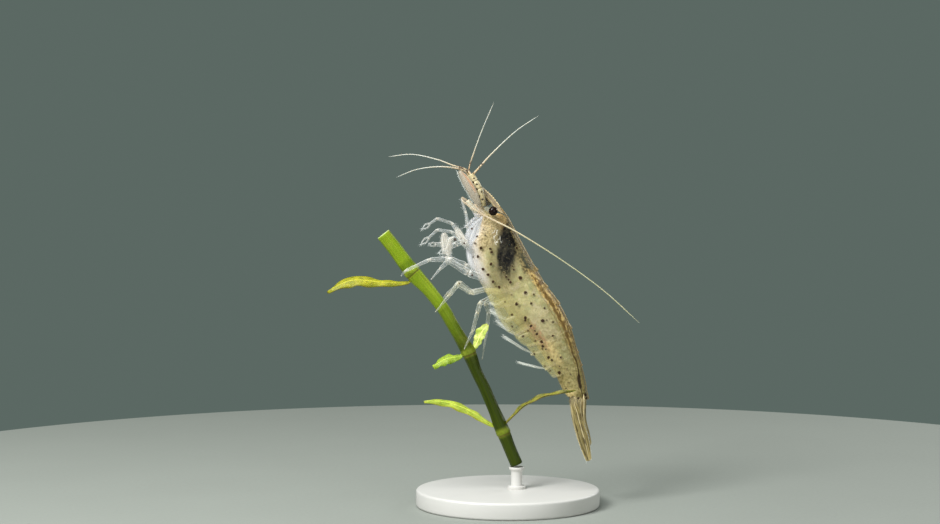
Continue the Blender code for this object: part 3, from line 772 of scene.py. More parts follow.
def limb_finish(name, pale, warm, marks, dotted=0.0):
    """Glassy limbs: a few streaks of white muscle in a clear skin, with painted highlight along
    both edges.
    """
    f = Finish(name)
    around, segment = f.chart()
    segment = segment * LIMB_CHART
    joint = f.step(abs(f.math("WRAP", segment, 0.5, -0.5)), 0.16, 0.03)
    streaks = f.charted((around, 7), (segment, 0.8), 2.0)
    cloud = f.noise(0.7, 2.0)
    # Two white lines along the limb's sides are painted highlight; with the muscle streaks they
    # whiten the colour and make the skin more solid.
    edges = f.step(abs(abs(around - 0.5) - 0.25), 0.095, 0.02)
    muscle_and_highlight = f.most(f.step(streaks, 0.50, 0.62) * 0.6, edges)
    f.colour = f.mix(muscle_and_highlight, tuple(c * 0.72 for c in pale), WHITE)
    f.lay(joint * cloud * 0.6, warm)
    dense = f.step(f.noise(1.1, 1.0) + joint * 0.10, 0.62 - dotted, 0.66 - dotted)
    dots = f.most(f.step(f.cells(0.42), 0.15, 0.10) * dense, f.marks(marks, 0.06, flat=True))
    f.lay(dots, LIMB_BROWN)
    veil = 0.05 + muscle_and_highlight * 0.55 + (cloud - 0.5) * 0.10 + (f.rim(0.5) ** 2.2) * 0.5 + joint * 0.25
    return f.surface(
        Base_Color=f.colour, Alpha=f.cover(veil, dots, 0.12), Roughness=0.30,
        Normal=f.bump(streaks, 0.10, 0.02), Specular_IOR_Level=0.4, **GLASSY,
    )


def lobe_finish(name, marks, body, shaded, pale):
    """Soft white folds, pleated lengthwise and thinning out towards their rims."""
    f = Finish(name)
    across, down = f.chart()
    pleats = f.charted((across, 16), (down, 1.5), 2.0)
    cloud = f.noise(0.8, 3.0)
    side = abs(across - 0.5) * 2
    fade = f.step(side + (pleats - 0.5) * 0.4, 1.0, 0.55) * f.step(down, 1.0, 0.75)
    dots = f.marks(marks, 0.06, flat=True) * f.step(fade, 0.1, 0.4)
    veil = fade * (body + (pleats - 0.5) * 0.9 + (cloud - 0.5) * 0.3)
    f.colour = f.tones(pleats, 0.35, 0.65, shaded, pale)
    f.lay(dots, LIMB_BROWN)
    return f.surface(
        Base_Color=f.colour, Alpha=f.cover(veil, dots, 0.0), Roughness=0.55,
        Normal=f.bump(pleats, 0.3, 0.04), Specular_IOR_Level=0.2,
        **soft(0.3, 0.0005, (1.0, 0.9, 0.8)),
    )


def fin_finish(name, pale, deep, clear, lines=0.0, blush=0.0, fray=0.0):
    """A thin clear plate with ribs that run to its tip."""
    f = Finish(name)
    across, down = f.chart()
    ribs = f.charted((across, 22), (down, 1.6))
    cloud = f.noise(0.6, 3.0)
    f.colour = f.mix(ribs, deep, pale)
    if blush:
        stripe = f.band(across, 0.20, 0.03, 0.16) * f.band(down, 0.66, 0.14, 0.24)
        f.lay(stripe * blush, (0.78, 0.40, 0.20))
    veil = clear + (ribs - 0.5) * 0.5 + (cloud - 0.5) * 0.2 + f.rim(0.3) * 0.25
    if fray:
        veil = veil - f.step(across, 0.62, 0.98) * fray
    if lines:
        bright = f.step(f.charted((across, 9), (down, 0.7), 1.0, 5.0), 0.54, 0.62)
        bright = bright * f.step(down, 0.10, 0.35)
        f.lay(bright, WHITE)
        veil = f.most(veil, bright * lines)
    return f.surface(
        Base_Color=f.colour, Alpha=f.cover(veil, 0.12), Roughness=0.3,
        Normal=f.bump(ribs, 0.4, 0.03), Specular_IOR_Level=0.6, **GLASSY,
    )


def hair_finish(name, pale, deep):
    """Fine hairs, a little cloudy from one patch to the next."""
    f = Finish(name)
    return f.surface(
        Base_Color=f.mix(f.noise(0.6, 2.0), deep, pale), Alpha=0.85, Roughness=0.4,
        Normal=f.bump(f.noise(0.05, 1.0), 0.1, 0.01),
    )


def feeler_finish(name, base, tip, bands=0.0, marks=(), clear=0.0, solid=0.9):
    """Ringed feelers, banded with brown towards their root."""
    f = Finish(name)
    _, down = f.chart()
    fine = f.noise(0.2, 2.0)
    f.colour = f.mix(f.step(down, 0.0, 0.6), base, tip)
    f.lay((fine - 0.35) * 0.8, f.mix(0.5, base, (1.0, 0.95, 0.85)))
    if bands:
        rings = f.step(f.noise(0.55, 1.0), 0.53, 0.57) * f.step(down, bands + 0.08, bands)
        f.lay(rings * 0.85, (0.07, 0.03, 0.012))
    if marks:
        f.lay(f.marks(marks, 0.16), BROWN)
        f.lay(f.step(f.cells(0.3), 0.15, 0.09) * 0.7, (0.16, 0.08, 0.02))
    if clear:
        solid = f.cover(solid - f.step(down, clear + 0.10, clear * 0.5) * 0.65)
    return f.surface(
        Base_Color=f.colour, Roughness=0.35, Normal=f.bump(fine, 0.3, 0.02), Alpha=solid,
        **soft(0.3, 0.0004, (1.0, 0.8, 0.6)),
    )


def eye_finish():
    """The black cornea, finely faceted under a wet gloss."""
    f = Finish("eye")
    black = f.mix(f.noise(0.5, 2.0), (0.003, 0.002, 0.002), (0.016, 0.008, 0.005))
    return f.surface(
        Base_Color=black, Roughness=0.16, Normal=f.bump(f.cells(0.045), 0.10, 0.006),
        Specular_IOR_Level=0.16,
    )


def beak_finish():
    """Clear olive blade with a bright upper edge, a warm middle, a pale keel and brown flecks."""
    f = Finish("beak")
    across, down = f.chart()
    cloud = f.noise(0.5, 3.0)
    fine = f.noise(0.14, 2.0)
    top = f.step(across, 0.20, 0.04)
    keel = f.band(across, 0.62, 0.05, 0.10)
    warm = f.band(across, 0.36, 0.12, 0.14)
    f.colour = f.tones(cloud, 0.35, 0.65, (0.08, 0.066, 0.027), (0.30, 0.24, 0.11))
    f.lay(warm * 0.75, f.mix(cloud, (0.26, 0.19, 0.10), (0.54, 0.42, 0.28)))
    f.lay(f.most(top, keel * 0.5), (0.84, 0.66, 0.36))
    flecks = f.step(f.cells(0.30), 0.15, 0.09) * f.step(cloud, 0.42, 0.55)
    f.lay(flecks, BROWN)
    veil = 0.62 + (cloud - 0.5) * 0.4 + top * 0.3 + keel * 0.2 + warm * 0.25 - down * 0.15
    veil = veil - f.step(across, 0.55, 0.85) * 0.42
    return f.surface(
        Base_Color=f.colour, Alpha=f.cover(veil, flecks, 0.15), Roughness=0.28,
        Normal=f.bump(fine + keel, 0.4, 0.03),
    )


def fan_finish(name, pale, deep, clear):
    """A tail plate: clear olive with a bright keel and edges and brown dashes along it."""
    f = Finish(name)
    across, down = f.chart()
    side = abs(across - 0.5) * 2
    ribs = f.charted((across, 9), (down, 1.8), 3.0)
    dashes = f.step(f.charted((across, 7), (down, 5.0), 1.0, 3.7), 0.58, 0.64)
    ridge = f.band(across, 0.42, 0.01, 0.06)
    edge = f.step(side, 0.84, 0.97)
    f.colour = f.tones(ribs, 0.35, 0.65, deep, pale)
    f.lay(f.most(ridge, edge * 0.6) * 0.8, (0.80, 0.68, 0.40))
    f.lay(f.step(down, 0.84, 0.97) * 0.6, (0.72, 0.56, 0.20))
    f.lay(f.step(down, 0.20, 0.04) * 0.7, (0.82, 0.68, 0.38))
    f.lay(dashes * 0.85, (0.06, 0.035, 0.012))
    veil = clear + (ribs - 0.5) * 0.6 + ridge * 0.3 + edge * 0.2
    return f.surface(
        Base_Color=f.colour, Alpha=f.cover(veil, dashes * 0.9, 0.2), Roughness=0.3,
        Normal=f.bump(ribs + ridge, 0.4, 0.04),
    )


def stem_finish():
    """Fresh green stem: ribbed, paler rings at its nodes, a band of painted shade above the first
    node, darker towards its foot.
    """
    f = Finish("stem")
    around, down = f.chart()
    stripes = f.charted((around, 30), (down, 5.0), 3.0)
    cloud = f.noise(2.2, 4.0)
    fine = f.noise(0.25, 3.0)
    upper = f.mix(stripes, (0.08, 0.14, 0.004), (0.30, 0.42, 0.018))
    lower = f.mix(stripes, (0.005, 0.010, 0.0004), (0.052, 0.078, 0.003))
    f.colour = f.tones(down + (cloud - 0.5) * 0.10, 0.24, 0.58, upper, lower)
    # A darker band just above the first node: painted shade.
    f.lay(f.band(down, 0.150, 0.008, 0.025) * 0.6, (0.06, 0.11, 0.004))
    f.lay(f.step(cloud, 0.45, 0.75) * f.step(down, 0.70, 0.30) * 0.35, (0.30, 0.30, 0.04))
    for ring in STEM_NODES:
        near = f.band(down + (cloud - 0.5) * 0.02, ring, 0.004, 0.020)
        f.lay(near * 0.55, f.mix(fine, (0.14, 0.18, 0.012), (0.36, 0.44, 0.04)))
        scar = f.band(down, ring + SCAR_BELOW_NODE, 0.0015, 0.003)
        f.lay(scar * 0.6, (0.10, 0.07, 0.015))
    cut = f.step(down, 0.004, 0.001)
    f.lay(cut, f.mix(f.cells(0.16), (0.34, 0.42, 0.10), (0.62, 0.70, 0.34)))
    return f.surface(
        Base_Color=f.colour, Roughness=0.28 + fine * 0.22,
        Normal=f.bump(stripes + fine * 0.4, 0.5, 0.05), Specular_IOR_Level=0.12,
        **soft(0.15, 0.0005, (0.5, 1.0, 0.2)),
    )


def leaf_finish(name, dark, light, edge):
    """A leaf with a pale midrib, side veins and a darker, worn edge."""
    f = Finish(name)
    across, down = f.chart()
    side = abs(across - 0.5) * 2
    cloud = f.noise(0.9, 4.0)
    fine = f.noise(0.22, 3.0)
    cells = f.cells(0.20)
    rib = f.step(side, 0.13, 0.05)
    veins = f.step(abs(f.math("WRAP", down * 16 - side * 2.2, 0.5, -0.5)), 0.10, 0.02)
    veins = veins * f.step(side, 0.95, 0.6)
    pale = tuple(min(1.0, c * 1.4 + 0.03) for c in light)
    f.colour = f.tones(cloud, 0.3, 0.7, dark, light)
    f.lay(cells * 0.35, dark)
    f.lay(f.step(side + (cloud - 0.5) * 0.5, 0.72, 0.98) * 0.8, edge)
    f.lay(veins * 0.35, pale)
    f.lay(rib * 0.7, pale)
    f.lay(f.step(f.cells(0.9), 0.16, 0.10) * 0.5, (0.16, 0.12, 0.02))
    return f.surface(
        Base_Color=f.colour, Roughness=0.30 + fine * 0.25, Specular_IOR_Level=0.25,
        Normal=f.bump(fine + rib * 1.2 + veins * 0.6 - cells * 0.5, 0.6, 0.05),
        **soft(0.25, 0.0006, (0.6, 1.0, 0.2)),
    )


def plain_finish(name, colour, roughness, grain):
    """One even colour, faintly clouded, with a fine grain."""
    f = Finish(name)
    fine = f.noise(grain, 3.0)
    shade = f.mix(f.noise(grain * 30, 2.0), tuple(c * 0.94 for c in colour), colour)
    return f.surface(
        Base_Color=shade, Roughness=roughness * (0.8 + fine * 0.4),
        Normal=f.bump(fine, 0.15, grain * 0.2),
    )


# ---------------------------------------------------------------- body

# Brown marks on each plate: how far along the back, how far down the flank, and radius.
MARKS = {
    "carapace": (
        (5.21, 0.84, 0.16), (6.06, 0.74, 0.22), (6.78, 0.58, 0.17), (7.25, 0.58, 0.20),
        (6.66, 0.94, 0.13), (6.97, 0.85, 0.20), (8.66, 0.68, 0.21), (8.78, 0.85, 0.19),
        (9.74, 0.81, 0.19), (10.89, 0.79, 0.19), (11.86, 0.74, 0.20), (11.13, 0.54, 0.19),
        (11.60, 0.53, 0.14), (12.05, 0.52, 0.21), (10.29, 0.35, 0.13), (10.80, 0.36, 0.14),
        (10.53, 0.54, 0.13), (8.42, 0.13, 0.20), (12.22, 0.33, 0.26),
        (11.62, 0.78, 0.10), (9.74, 0.55, 0.11), (12.10, 0.64, 0.09), (2.92, 0.95, 0.19),
        (3.22, 0.72, 0.10), (4.73, 0.61, 0.12),
    ),
    "pleonite_1": ((14.27, 0.37, 0.20), (15.05, 0.27, 0.14), (13.60, 0.60, 0.10)),
    "pleonite_2": (
        (14.88, 0.60, 0.25), (15.42, 0.77, 0.16), (15.70, 0.39, 0.17), (17.48, 0.26, 0.15),
        (16.75, 0.62, 0.22), (17.17, 0.65, 0.19), (16.45, 0.89, 0.12), (19.00, 0.63, 0.18),
        (13.95, 0.76, 0.10),
    ),
    "pleonite_3": (
        (19.20, 0.41, 0.24), (19.60, 0.73, 0.12), (20.07, 0.26, 0.15), (20.78, 0.64, 0.20),
        (20.13, 0.63, 0.14), (20.07, 0.87, 0.17), (22.13, 0.40, 0.19), (22.50, 0.66, 0.23),
        (21.82, 0.75, 0.11), (22.30, 0.28, 0.11), (19.40, 0.34, 0.09),
    ),
    "pleonite_4": (
        (23.33, 0.69, 0.21), (23.76, 0.74, 0.13), (24.18, 0.96, 0.15), (25.10, 0.72, 0.21),
        (25.50, 0.68, 0.18), (25.51, 0.44, 0.18), (23.94, 0.67, 0.10), (25.93, 0.92, 0.11),
    ),
    "pleonite_5": (
        (27.70, 0.71, 0.23), (27.02, 0.93, 0.13), (26.63, 0.60, 0.10), (27.44, 0.45, 0.10),
    ),
    "pleonite_6": (
        (28.30, 0.41, 0.13), (31.79, 0.10, 0.24), (32.27, 0.09, 0.20), (32.03, 0.41, 0.16),
        (30.28, 0.70, 0.11), (29.40, 0.55, 0.09),
    ),
}


def girth_at(section, height):
    """Where down the right flank the section reaches a height."""
    low, high = 0.0, 1.0
    for _ in range(20):
        middle = (low + high) / 2
        low, high = (middle, high) if section.at(middle).y < height else (low, middle)
    return low


def mark_places(section, marks):
    """The marks as (x, out from the middle, z, radius)."""
    places = []
    for along, height, radius in marks:
        point = on_body(section, along, girth_at(section, height), 0.06)
        places.append((point.x, abs(point.y), point.z, radius))
    return places


def core():
    """The flesh inside the shell, from the snout to the tail's root.

    At each key along the back, its top and foot are shares of the body's depth there and its
    width is a share of the body's.
    """
    keys = (-0.2, 2.0, 3.2, 5.0, 10.5, 12.2, 13.8, 25.0, 28.0, 32.3)
    tops = (0.62, 0.40, 0.09, 0.030, 0.020, 0.020, 0.020, 0.022, 0.030, 0.050)
    feet = (0.92, 0.94, 0.98, 0.98, 0.97, 0.92, 0.84, 0.82, 0.84, 0.82)
    widths = (0.86, 0.92, 0.92, 0.92, 0.93, 0.93, 0.93, 0.92, 0.92, 0.86)
    count, around = 150, 44

    def shape(u, v):
        along = keys[0] + (keys[-1] - keys[0]) * v
        closed = math.sqrt(max(0.0, 1 - (1 - min(1.0, min(v, 1 - v) * 32)) ** 2))
        top, foot = smooth(keys, tops, along), smooth(keys, feet, along)
        angle = 2 * math.pi * u
        swing = math.copysign(abs(math.cos(angle)) ** 0.85, math.cos(angle)) * closed
        fullness = 0.95 if swing > 0 else 0.72
        reach = math.copysign(abs(math.sin(angle)) ** fullness, math.sin(angle)) * closed
        height = (top + foot) / 2 - swing * (foot - top) / 2
        sink = 1 - 0.45 * ease(height, 0.60, 0.95) * ease(along, 12.5, 14.0)
        outward = reach * TRUNK.half_width(along) * smooth(keys, widths, along) * sink
        return TRUNK.point(along, height, outward), body_chart(along, height)

    made = sheet("flesh", around, count, shape)
    keep(painted(made, flesh_finish()), "shell", "head")


PLATE_WALL = 0.07
PLATE_LEAD = 0.45           # how far a plate's front edge reaches under the plate before it


def plate(name, section, front, rear, columns, trail=0.42, skirt=0.66, fringe=(0.60, 0.54, 0.22)):
    """One overlapping plate of the shell, open below, its rear edge over the next plate."""
    fronted, tail_over = name == "carapace", name == "pleonite_1"
    saddle = name == "pleonite_2"   # its sides lie over both its neighbours

    def shape(u, v):
        girth = 2 * v - 1
        flank = abs(girth)
        low = ease(flank, 0.50, 0.68)
        corner = 0.07 * abs(2 * u - 1) ** 4 * ease(flank, 0.6, 1.0)
        girth *= 1 - corner * (not fronted)
        height = section.at(girth).y
        start, end = TRUNK.seam(front, height), TRUNK.seam(rear, height) + trail
        lift = 0.03 + 0.03 * hump(u, 0.55, 0.4)
        if fronted:             # a bay behind the eye, and two small points below it
            start += 0.30 * hump(height, 0.27, 0.13) - 0.55 * hump(height, 0.50, 0.035)
            start -= 0.35 * hump(height, 0.97, 0.03)
            lift -= 0.05 * (1 - ease(u, 0.0, 0.05))
        else:
            start -= PLATE_LEAD + 0.25 * low * saddle
            tuck = -0.10 + (0.22 * low if saddle else 0.0)
            lift += tuck * (1 - ease(u, 0.0, 0.20))
        raised = 0.20 if name in ("carapace", "pleonite_3") else 0.14
        flare = raised * (1 - 0.4 * low) * ease(u, 0.90 if fronted else 0.76, 1.0)
        lift += flare * (1 - 0.9 * low) if tail_over else flare
        along = start + (end - start) * u
        return on_body(section, along, girth, lift), (u, height)

    made = thicken(sheet(name + "_plate", columns, 84, shape), PLATE_WALL)
    marks = mark_places(section, MARKS[name])
    painted(made, shell_finish(name + "_cuticle", marks, skirt, fringe))
    keep(made, "shell", name)


def body():
    """The flesh and the seven plates of the shell over it."""
    core()
    plate("carapace", CARAPACE, "brow", "carapace_end", 72, skirt=0.80, fringe=(0.80, 0.73, 0.64))
    for number in range(1, 6):
        front = "carapace_end" if number == 1 else f"pleonite_{number - 1}_end"
        plate(f"pleonite_{number}", PLEONITE, front, f"pleonite_{number}_end", 30)
    rear = "pleonite_6_end"
    plate("pleonite_6", LAST_PLEONITE, "pleonite_5_end", rear, 36, trail=0.25, skirt=0.9)


# ---------------------------------------------------------------- head


def eyes():
    """Each eye's black ball, flattened a little behind, on its short stalk."""
    black = eye_finish()
    stalk = feeler_finish("eyestalk", (0.50, 0.44, 0.28), (0.62, 0.58, 0.44), solid=0.20)
    for name, side in SIDES:
        centre = on_head(*EYE_PLACES[name], side)
        root = on_head(0.95, 2.05, 0.45, side)
        out = (centre - root).normalized()
        turn = out.to_track_quat("Z", "Y").to_matrix()

        def ball(u, v):
            angle, rise = 2 * math.pi * u, math.pi * (v - 0.5)
            local = Vector((
                math.cos(angle) * math.cos(rise), math.sin(angle) * math.cos(rise), math.sin(rise),
            ))
            swell = EYE_RADIUS * (1 - 0.05 * ease(-local.z, 0.0, 1.0))
            return centre + turn @ local * swell, (u, v)

        keep(painted(sheet(f"eye_{name}_cornea", 48, 28, ball), black), "eye", f"eye_{name}")
        line = Line(
            [root, root.lerp(centre, 0.45), root.lerp(centre, 0.70), root.lerp(centre, 0.88)],
            [0.40, 0.38, 0.48, 0.62],
        )
        keep(painted(rod(f"eyestalk_{name}", line, 20, 28), stalk), "shell")


def rostrum():
    """The saw-toothed beak, running back into the crest of the carapace.

    Its profile is given by how far forward and down its middle lies, and its half height.
    """
    profile = (
        (-1.30, 0.08, 0.06), (-0.90, 0.24, 0.22), (0.14, 0.55, 0.52), (1.05, 0.60, 0.52),
        (2.1, 0.78, 0.55), (3.4, 1.04, 0.40), (4.4, 1.28, 0.06),
    )
    line = Line([on_head(f, v, 0) for f, v, _ in profile], [half for _, _, half in profile], DOWN)
    teeth = 16

    def edge(share, width):
        """Teeth along the upper edge only."""
        saw = (share * teeth) % 1.0
        size = max(line.size(share), 0.08)
        tooth = 0.12 * (ease(saw, 0.0, 0.75) - ease(saw, 0.75, 1.0) - 0.4)
        return 1 + (tooth / size if width < -0.85 and 0.12 < share < 0.97 else 0)

    made = blade("rostrum_blade", line, 0.34, 190, 28, edge=edge)
    for step in range(60):
        share = 0.14 + 0.80 * step / 60
        middle, across, _, along = line.frame(share)
        root = middle - across * line.size(share) * 0.95
        sow("fin", root, along * 0.8 - across * 0.5, CHANCE.uniform(0.12, 0.22), 0.018, 0.1)
    keep(painted(made, beak_finish()), "shell", "rostrum")


# Brown marks on the antennules' stalks: how far along the stalk, and how far above its middle.
STALK_MARKS = {
    "left": (
        (0.4, 0.30), (0.95, -0.12), (1.5, 0.22), (2.0, -0.20), (2.6, 0.26), (3.2, -0.05),
        (3.7, 0.30), (4.1, -0.1),
    ),
    "right": ((0.9, 0.2), (1.9, 0.0), (3.0, 0.3), (4.1, 0.1)),
}
ANTENNULE_STALKS = {
    "left": ((1.35, 2.02, 0.70), (2.20, 1.67, 0.74), (3.7, 1.23, 0.76), (6.05, 0.98, 0.70)),
    "right": ((1.35, 2.14, 0.70), (2.20, 1.84, 0.74), (3.7, 1.47, 0.76), (6.10, 1.40, 0.74)),
}
ANTENNULE_WHIPS = {
    "left": {
        "outer": ((-4.70, 0.98, 47.15), (-2.4, 1.1, 49.7), (1.0, 1.5, 52.9), (4.2, 2.2, 55.1)),
        "inner": ((-5.55, 0.44, 47.40), (-4.9, 0.5, 49.7), (-3.7, 0.9, 53.0), (-2.0, 1.5, 57.0)),
    },
    "right": {
        "outer": (
            (-5.85, 0.98, 47.20), (-7.4, 1.3, 47.75), (-10.0, 1.9, 47.95), (-13.1, 3.0, 47.5),
            (-15.9, 4.2, 46.4),
        ),
        "inner": (
            (-5.95, 0.42, 47.55), (-7.9, 0.5, 48.2), (-9.9, 0.9, 48.95), (-13.6, 1.9, 49.7),
            (-17.0, 3.0, 49.35),
        ),
    },
}


def antennules():
    """The short feelers: a three-part stalk each, with an outer and an inner whip."""
    whip_finish = feeler_finish("feeler", (0.50, 0.37, 0.20), (0.56, 0.57, 0.49), bands=0.16)
    for name, side in SIDES:
        line = head_line(ANTENNULE_STALKS[name], (0.38, 0.50, 0.53, 0.40), side)

        def pinch(share, angle):
            joints = hump(share, 0.52, 0.016) + hump(share, 0.76, 0.016)
            swelling = 0.07 * ease(share, 0.36, 0.50) + 0.05 * hump(share, 0.68, 0.05)
            return 1 + swelling - 0.20 * joints

        marks = []
        for reach, rise in STALK_MARKS[name]:
            spot, across, upright, _ = line.frame(reach / line.length)
            spot = spot + SIDEWAYS * side * 0.42 + upright * rise
            marks.append((spot.x, abs(spot.y), spot.z, 0.17))
        stalk = rod(f"antennule_{name}_stalk", line, 80, 22, pinch)
        finish = feeler_finish(f"stalk_{name}", (0.42, 0.34, 0.15), (0.58, 0.49, 0.27), marks=marks)
        for _ in range(40):
            share = CHANCE.choice((0.50, 0.75, 0.97)) + CHANCE.uniform(-0.02, 0.01)
            middle, across, upright, along = line.frame(share)
            angle = CHANCE.uniform(0, 2 * math.pi)
            out = across * math.cos(angle) + upright * math.sin(angle)
            root = middle + out * line.size(share) * 0.9
            sow("feeler", root, along + out * 0.35, CHANCE.uniform(0.2, 0.4), 0.022)
        keep(painted(stalk, finish), "feeler", f"antennule_{name}")
        for place, points in ANTENNULE_WHIPS[name].items():
            route = [at(*point, side) for point in points]
            root = route[0] + (line.spot(0.96) - route[0]) * 0.9
            thick = 0.17 if place == "outer" else 0.145
            whip(f"antennule_{name}_{place}", [root] + route, thick, 0.05, whip_finish)


RING_SPACING = 0.26


def whip(name, route, thick, thin, finish):
    """A ringed feeler that thins to its tip."""
    reach = distances(route)
    sizes = [thin + (thick - thin) * (1 - r / reach[-1]) ** 2.2 for r in reach]
    line = Line(route, sizes)
    rings = round(line.length / RING_SPACING)

    def relief(share, angle):
        ringed = 1 + 0.07 * math.cos(2 * math.pi * rings * share)
        return ringed * (1 - 0.75 * ease(share, 0.9, 1.0))

    made = rod(name, line, rings * 4, 8, relief)
    keep(painted(made, finish), "feeler", name + "_whip")


# The long feelers' routes: past the head in its own frame, then out beside the body.
ANTENNA_STARTS = {
    "left": (
        (3.05, 3.46, 0.76), (3.45, 3.60, 0.88), (3.90, 3.84, 1.35), (3.35, 3.95, 2.10),
        (1.60, 3.20, 2.45), (-0.14, 2.36, 2.45),
    ),
    "right": (
        (3.05, 3.46, 0.76), (3.45, 3.60, 0.88), (3.90, 3.84, 1.35), (3.35, 3.95, 2.10),
        (1.60, 3.20, 2.50), (-0.14, 3.10, 2.60),
    ),
}
ANTENNA_ENDS = {
    "left": ((0.8, 3.0, 39.1), (7.3, 4.7, 35.1), (13.0, 6.8, 31.0), (17.9, 9.0, 26.6)),
    "right": ((-0.8, 3.2, 37.4), (2.6, 4.2, 30.6), (6.0, 5.6, 23.9), (8.3, 7.4, 17.2)),
}
ANTENNA_STALK = ((1.2, 3.1, 0.56), (2.14, 3.36, 0.66), (3.2, 3.47, 0.80))
ANTENNA_SCALE = (
    (1.5, 2.44, 1.20), (2.14, 2.40, 1.56), (4.2, 2.18, 1.96), (6.2, 2.12, 2.05),
    (7.4, 2.16, 2.08),
)


def antennae():
    """The long feelers: a stalk, a whip and a fringed scale each."""
    whip_finish = feeler_finish("antenna", (0.72, 0.56, 0.38), (0.34, 0.35, 0.19), clear=0.16)
    stalk_finish = feeler_finish("antenna_root", (0.60, 0.56, 0.42), (0.72, 0.68, 0.54), solid=0.7)
    scale_finish = fin_finish(
        "scale", (0.74, 0.66, 0.55), (0.38, 0.33, 0.23), 0.60, blush=0.75, fray=0.40)
    for name, side in SIDES:
        stalk = head_line(ANTENNA_STALK, (0.46, 0.44, 0.36), side)

        def pinch(share, angle):
            return 1 - 0.16 * hump(share, 0.55, 0.03)

        made = rod(f"antenna_{name}_stalk", stalk, 36, 20, pinch)
        keep(painted(made, stalk_finish), "feeler", f"antenna_{name}")
        route = [on_head(*point, side) for point in ANTENNA_STARTS[name]]
        route += [at(*point, side) for point in ANTENNA_ENDS[name]]
        whip(f"antenna_{name}", route, 0.17, 0.07, whip_finish)
        across = DOWN * 0.86 + Vector((0, 0.50 * side, 0))
        line = head_line(ANTENNA_SCALE, (0.30, 0.46, 0.74, 0.62, 0.20), side, across)
        scale = blade(f"antenna_scale_{name}_plate", line, 0.22, 60, 28, dished(0.10))
        keep(painted(scale, scale_finish), "fin", f"antenna_scale_{name}")
        for step in range(190):
            share = 0.18 + 0.80 * step / 190
            middle, edge, _, along = line.frame(share)
            root = middle + edge * line.size(share) * 0.93
            out = edge * (1.05 - share) + along * (0.45 + share)
            sow("fin", root, out, CHANCE.uniform(0.24, 0.50), 0.018)


# The soft white lobes of the mouth and gills, under the front of the carapace: points by
# x, outward and z, then half widths.
LOBES = (
    (
        (
            (-3.2, 0.8, 41.3), (-4.2, 1.0, 39.4), (-4.7, 1.15, 37.0), (-4.5, 1.1, 34.6),
            (-4.0, 0.9, 32.6),
        ),
        (0.3, 1.15, 1.45, 1.00, 0.3),
    ),
    (
        ((-3.9, 1.0, 40.6), (-4.9, 1.2, 39.3), (-5.5, 1.2, 37.9), (-5.9, 1.0, 36.4)),
        (0.3, 0.80, 0.85, 0.3),
    ),
    (
        ((-4.0, 1.2, 38.4), (-5.0, 1.3, 36.9), (-5.1, 1.3, 35.2), (-4.8, 1.1, 33.4)),
        (0.4, 0.85, 0.80, 0.3),
    ),
    (
        ((-3.9, 1.0, 41.2), (-4.9, 1.1, 40.5), (-5.6, 1.0, 39.8), (-6.3, 0.8, 39.4)),
        (0.2, 0.42, 0.42, 0.1),
    ),
)
# Brown marks by x, outward, z and radius.
TUFT_DOTS = ((-8.93, 1.2, 35.62, 0.14), (-8.95, 1.2, 36.7, 0.09))
LOBE_DOTS = ((-4.35, 1.2, 38.2, 0.16), (-4.60, 1.2, 36.3, 0.14), (-5.1, 1.2, 39.3, 0.16))
# Smaller tufted folds about the hands of the first legs, given alike.
TUFTS = (
    (
        ((-9.1, 1.9, 38.6), (-8.9, 2.0, 37.6), (-8.7, 2.1, 36.6), (-8.8, 2.1, 35.5)),
        (0.35, 0.75, 0.80, 0.45),
    ),
    (
        ((-8.0, 2.1, 37.9), (-8.3, 2.2, 37.0), (-8.4, 2.3, 36.0), (-8.2, 2.2, 35.2)),
        (0.30, 0.60, 0.60, 0.25),
    ),
    (
        ((-5.6, 2.0, 36.7), (-6.2, 2.2, 37.6), (-6.9, 2.3, 38.5), (-7.4, 2.3, 39.6)),
        (0.30, 0.55, 0.65, 0.25),
    ),
)
# The hindmost mouth limb in the head's frame: forward, down and outward.
MAXILLIPED = (
    (-1.75, 5.5, 0.50), (-1.15, 5.85, 0.55), (0.3, 5.30, 0.60), (1.55, 4.68, 0.58),
    (3.1, 4.22, 0.52), (3.95, 3.98, 0.42),
)


def mouthparts(limb):
    """The hindmost mouth limbs, and the soft feathered lobes behind them."""
    white = lobe_finish("lobe", LOBE_DOTS, 0.72, (0.70, 0.71, 0.74), (0.95, 0.93, 0.92))
    cream = lobe_finish("tuft", TUFT_DOTS, 0.42, (0.52, 0.50, 0.44), (0.88, 0.83, 0.74))
    for name, side in SIDES:
        line = head_line(MAXILLIPED, (0.30, 0.30, 0.25, 0.18, 0.15, 0.06), side)

        def pinch(share, angle):
            return 1 - 0.22 * hump(share, 0.38, 0.015) - 0.22 * hump(share, 0.68, 0.015)

        arm = rod(f"maxilliped_{name}_arm", line, 70, 14, pinch, chart=lambda s: s * 3 / LIMB_CHART)
        keep(painted(arm, limb), "limb", f"maxilliped_{name}")
        for step in range(36):
            share = 0.35 + 0.65 * step / 36
            middle, across, _, along = line.frame(share)
            out = DOWN * 0.8 + across * CHANCE.uniform(-0.6, 0.6)
            root = middle + out * line.size(share) * 0.6
            sow("limb", root, out + along * 0.8, CHANCE.uniform(0.25, 0.5), 0.012, 0.05)
        lobes = []
        for points, widths in LOBES + TUFTS:
            hand = (points, widths) in TUFTS
            lobe = model_line(points, widths, side, Vector((-0.8, 0.35 * side, -0.45)))
            made = blade("lobe", lobe, 0.30, 40, 24, dished(0.16))
            lobes.append(painted(made, cream if hand else white))
            for _ in range(110 if hand else 46):
                share = 0.10 + 0.90 * CHANCE.random()
                middle, across, _, along = lobe.frame(share)
                way = CHANCE.uniform(-1, 1)
                root = middle + across * way * lobe.size(share) * 0.8 + SIDEWAYS * side * 0.10
                out = along * (-0.7 if hand and share < 0.5 else 0.7) + across * (0.2 + way * 0.6)
                out += SIDEWAYS * side * CHANCE.uniform(-0.1, 0.2)
                sow("limb", root, out, CHANCE.uniform(0.30, 0.70), 0.012, 0.04)
        keep(join(f"mouth_lobes_{name}", lobes), "limb")


# ---------------------------------------------------------------- legs and swimmerets

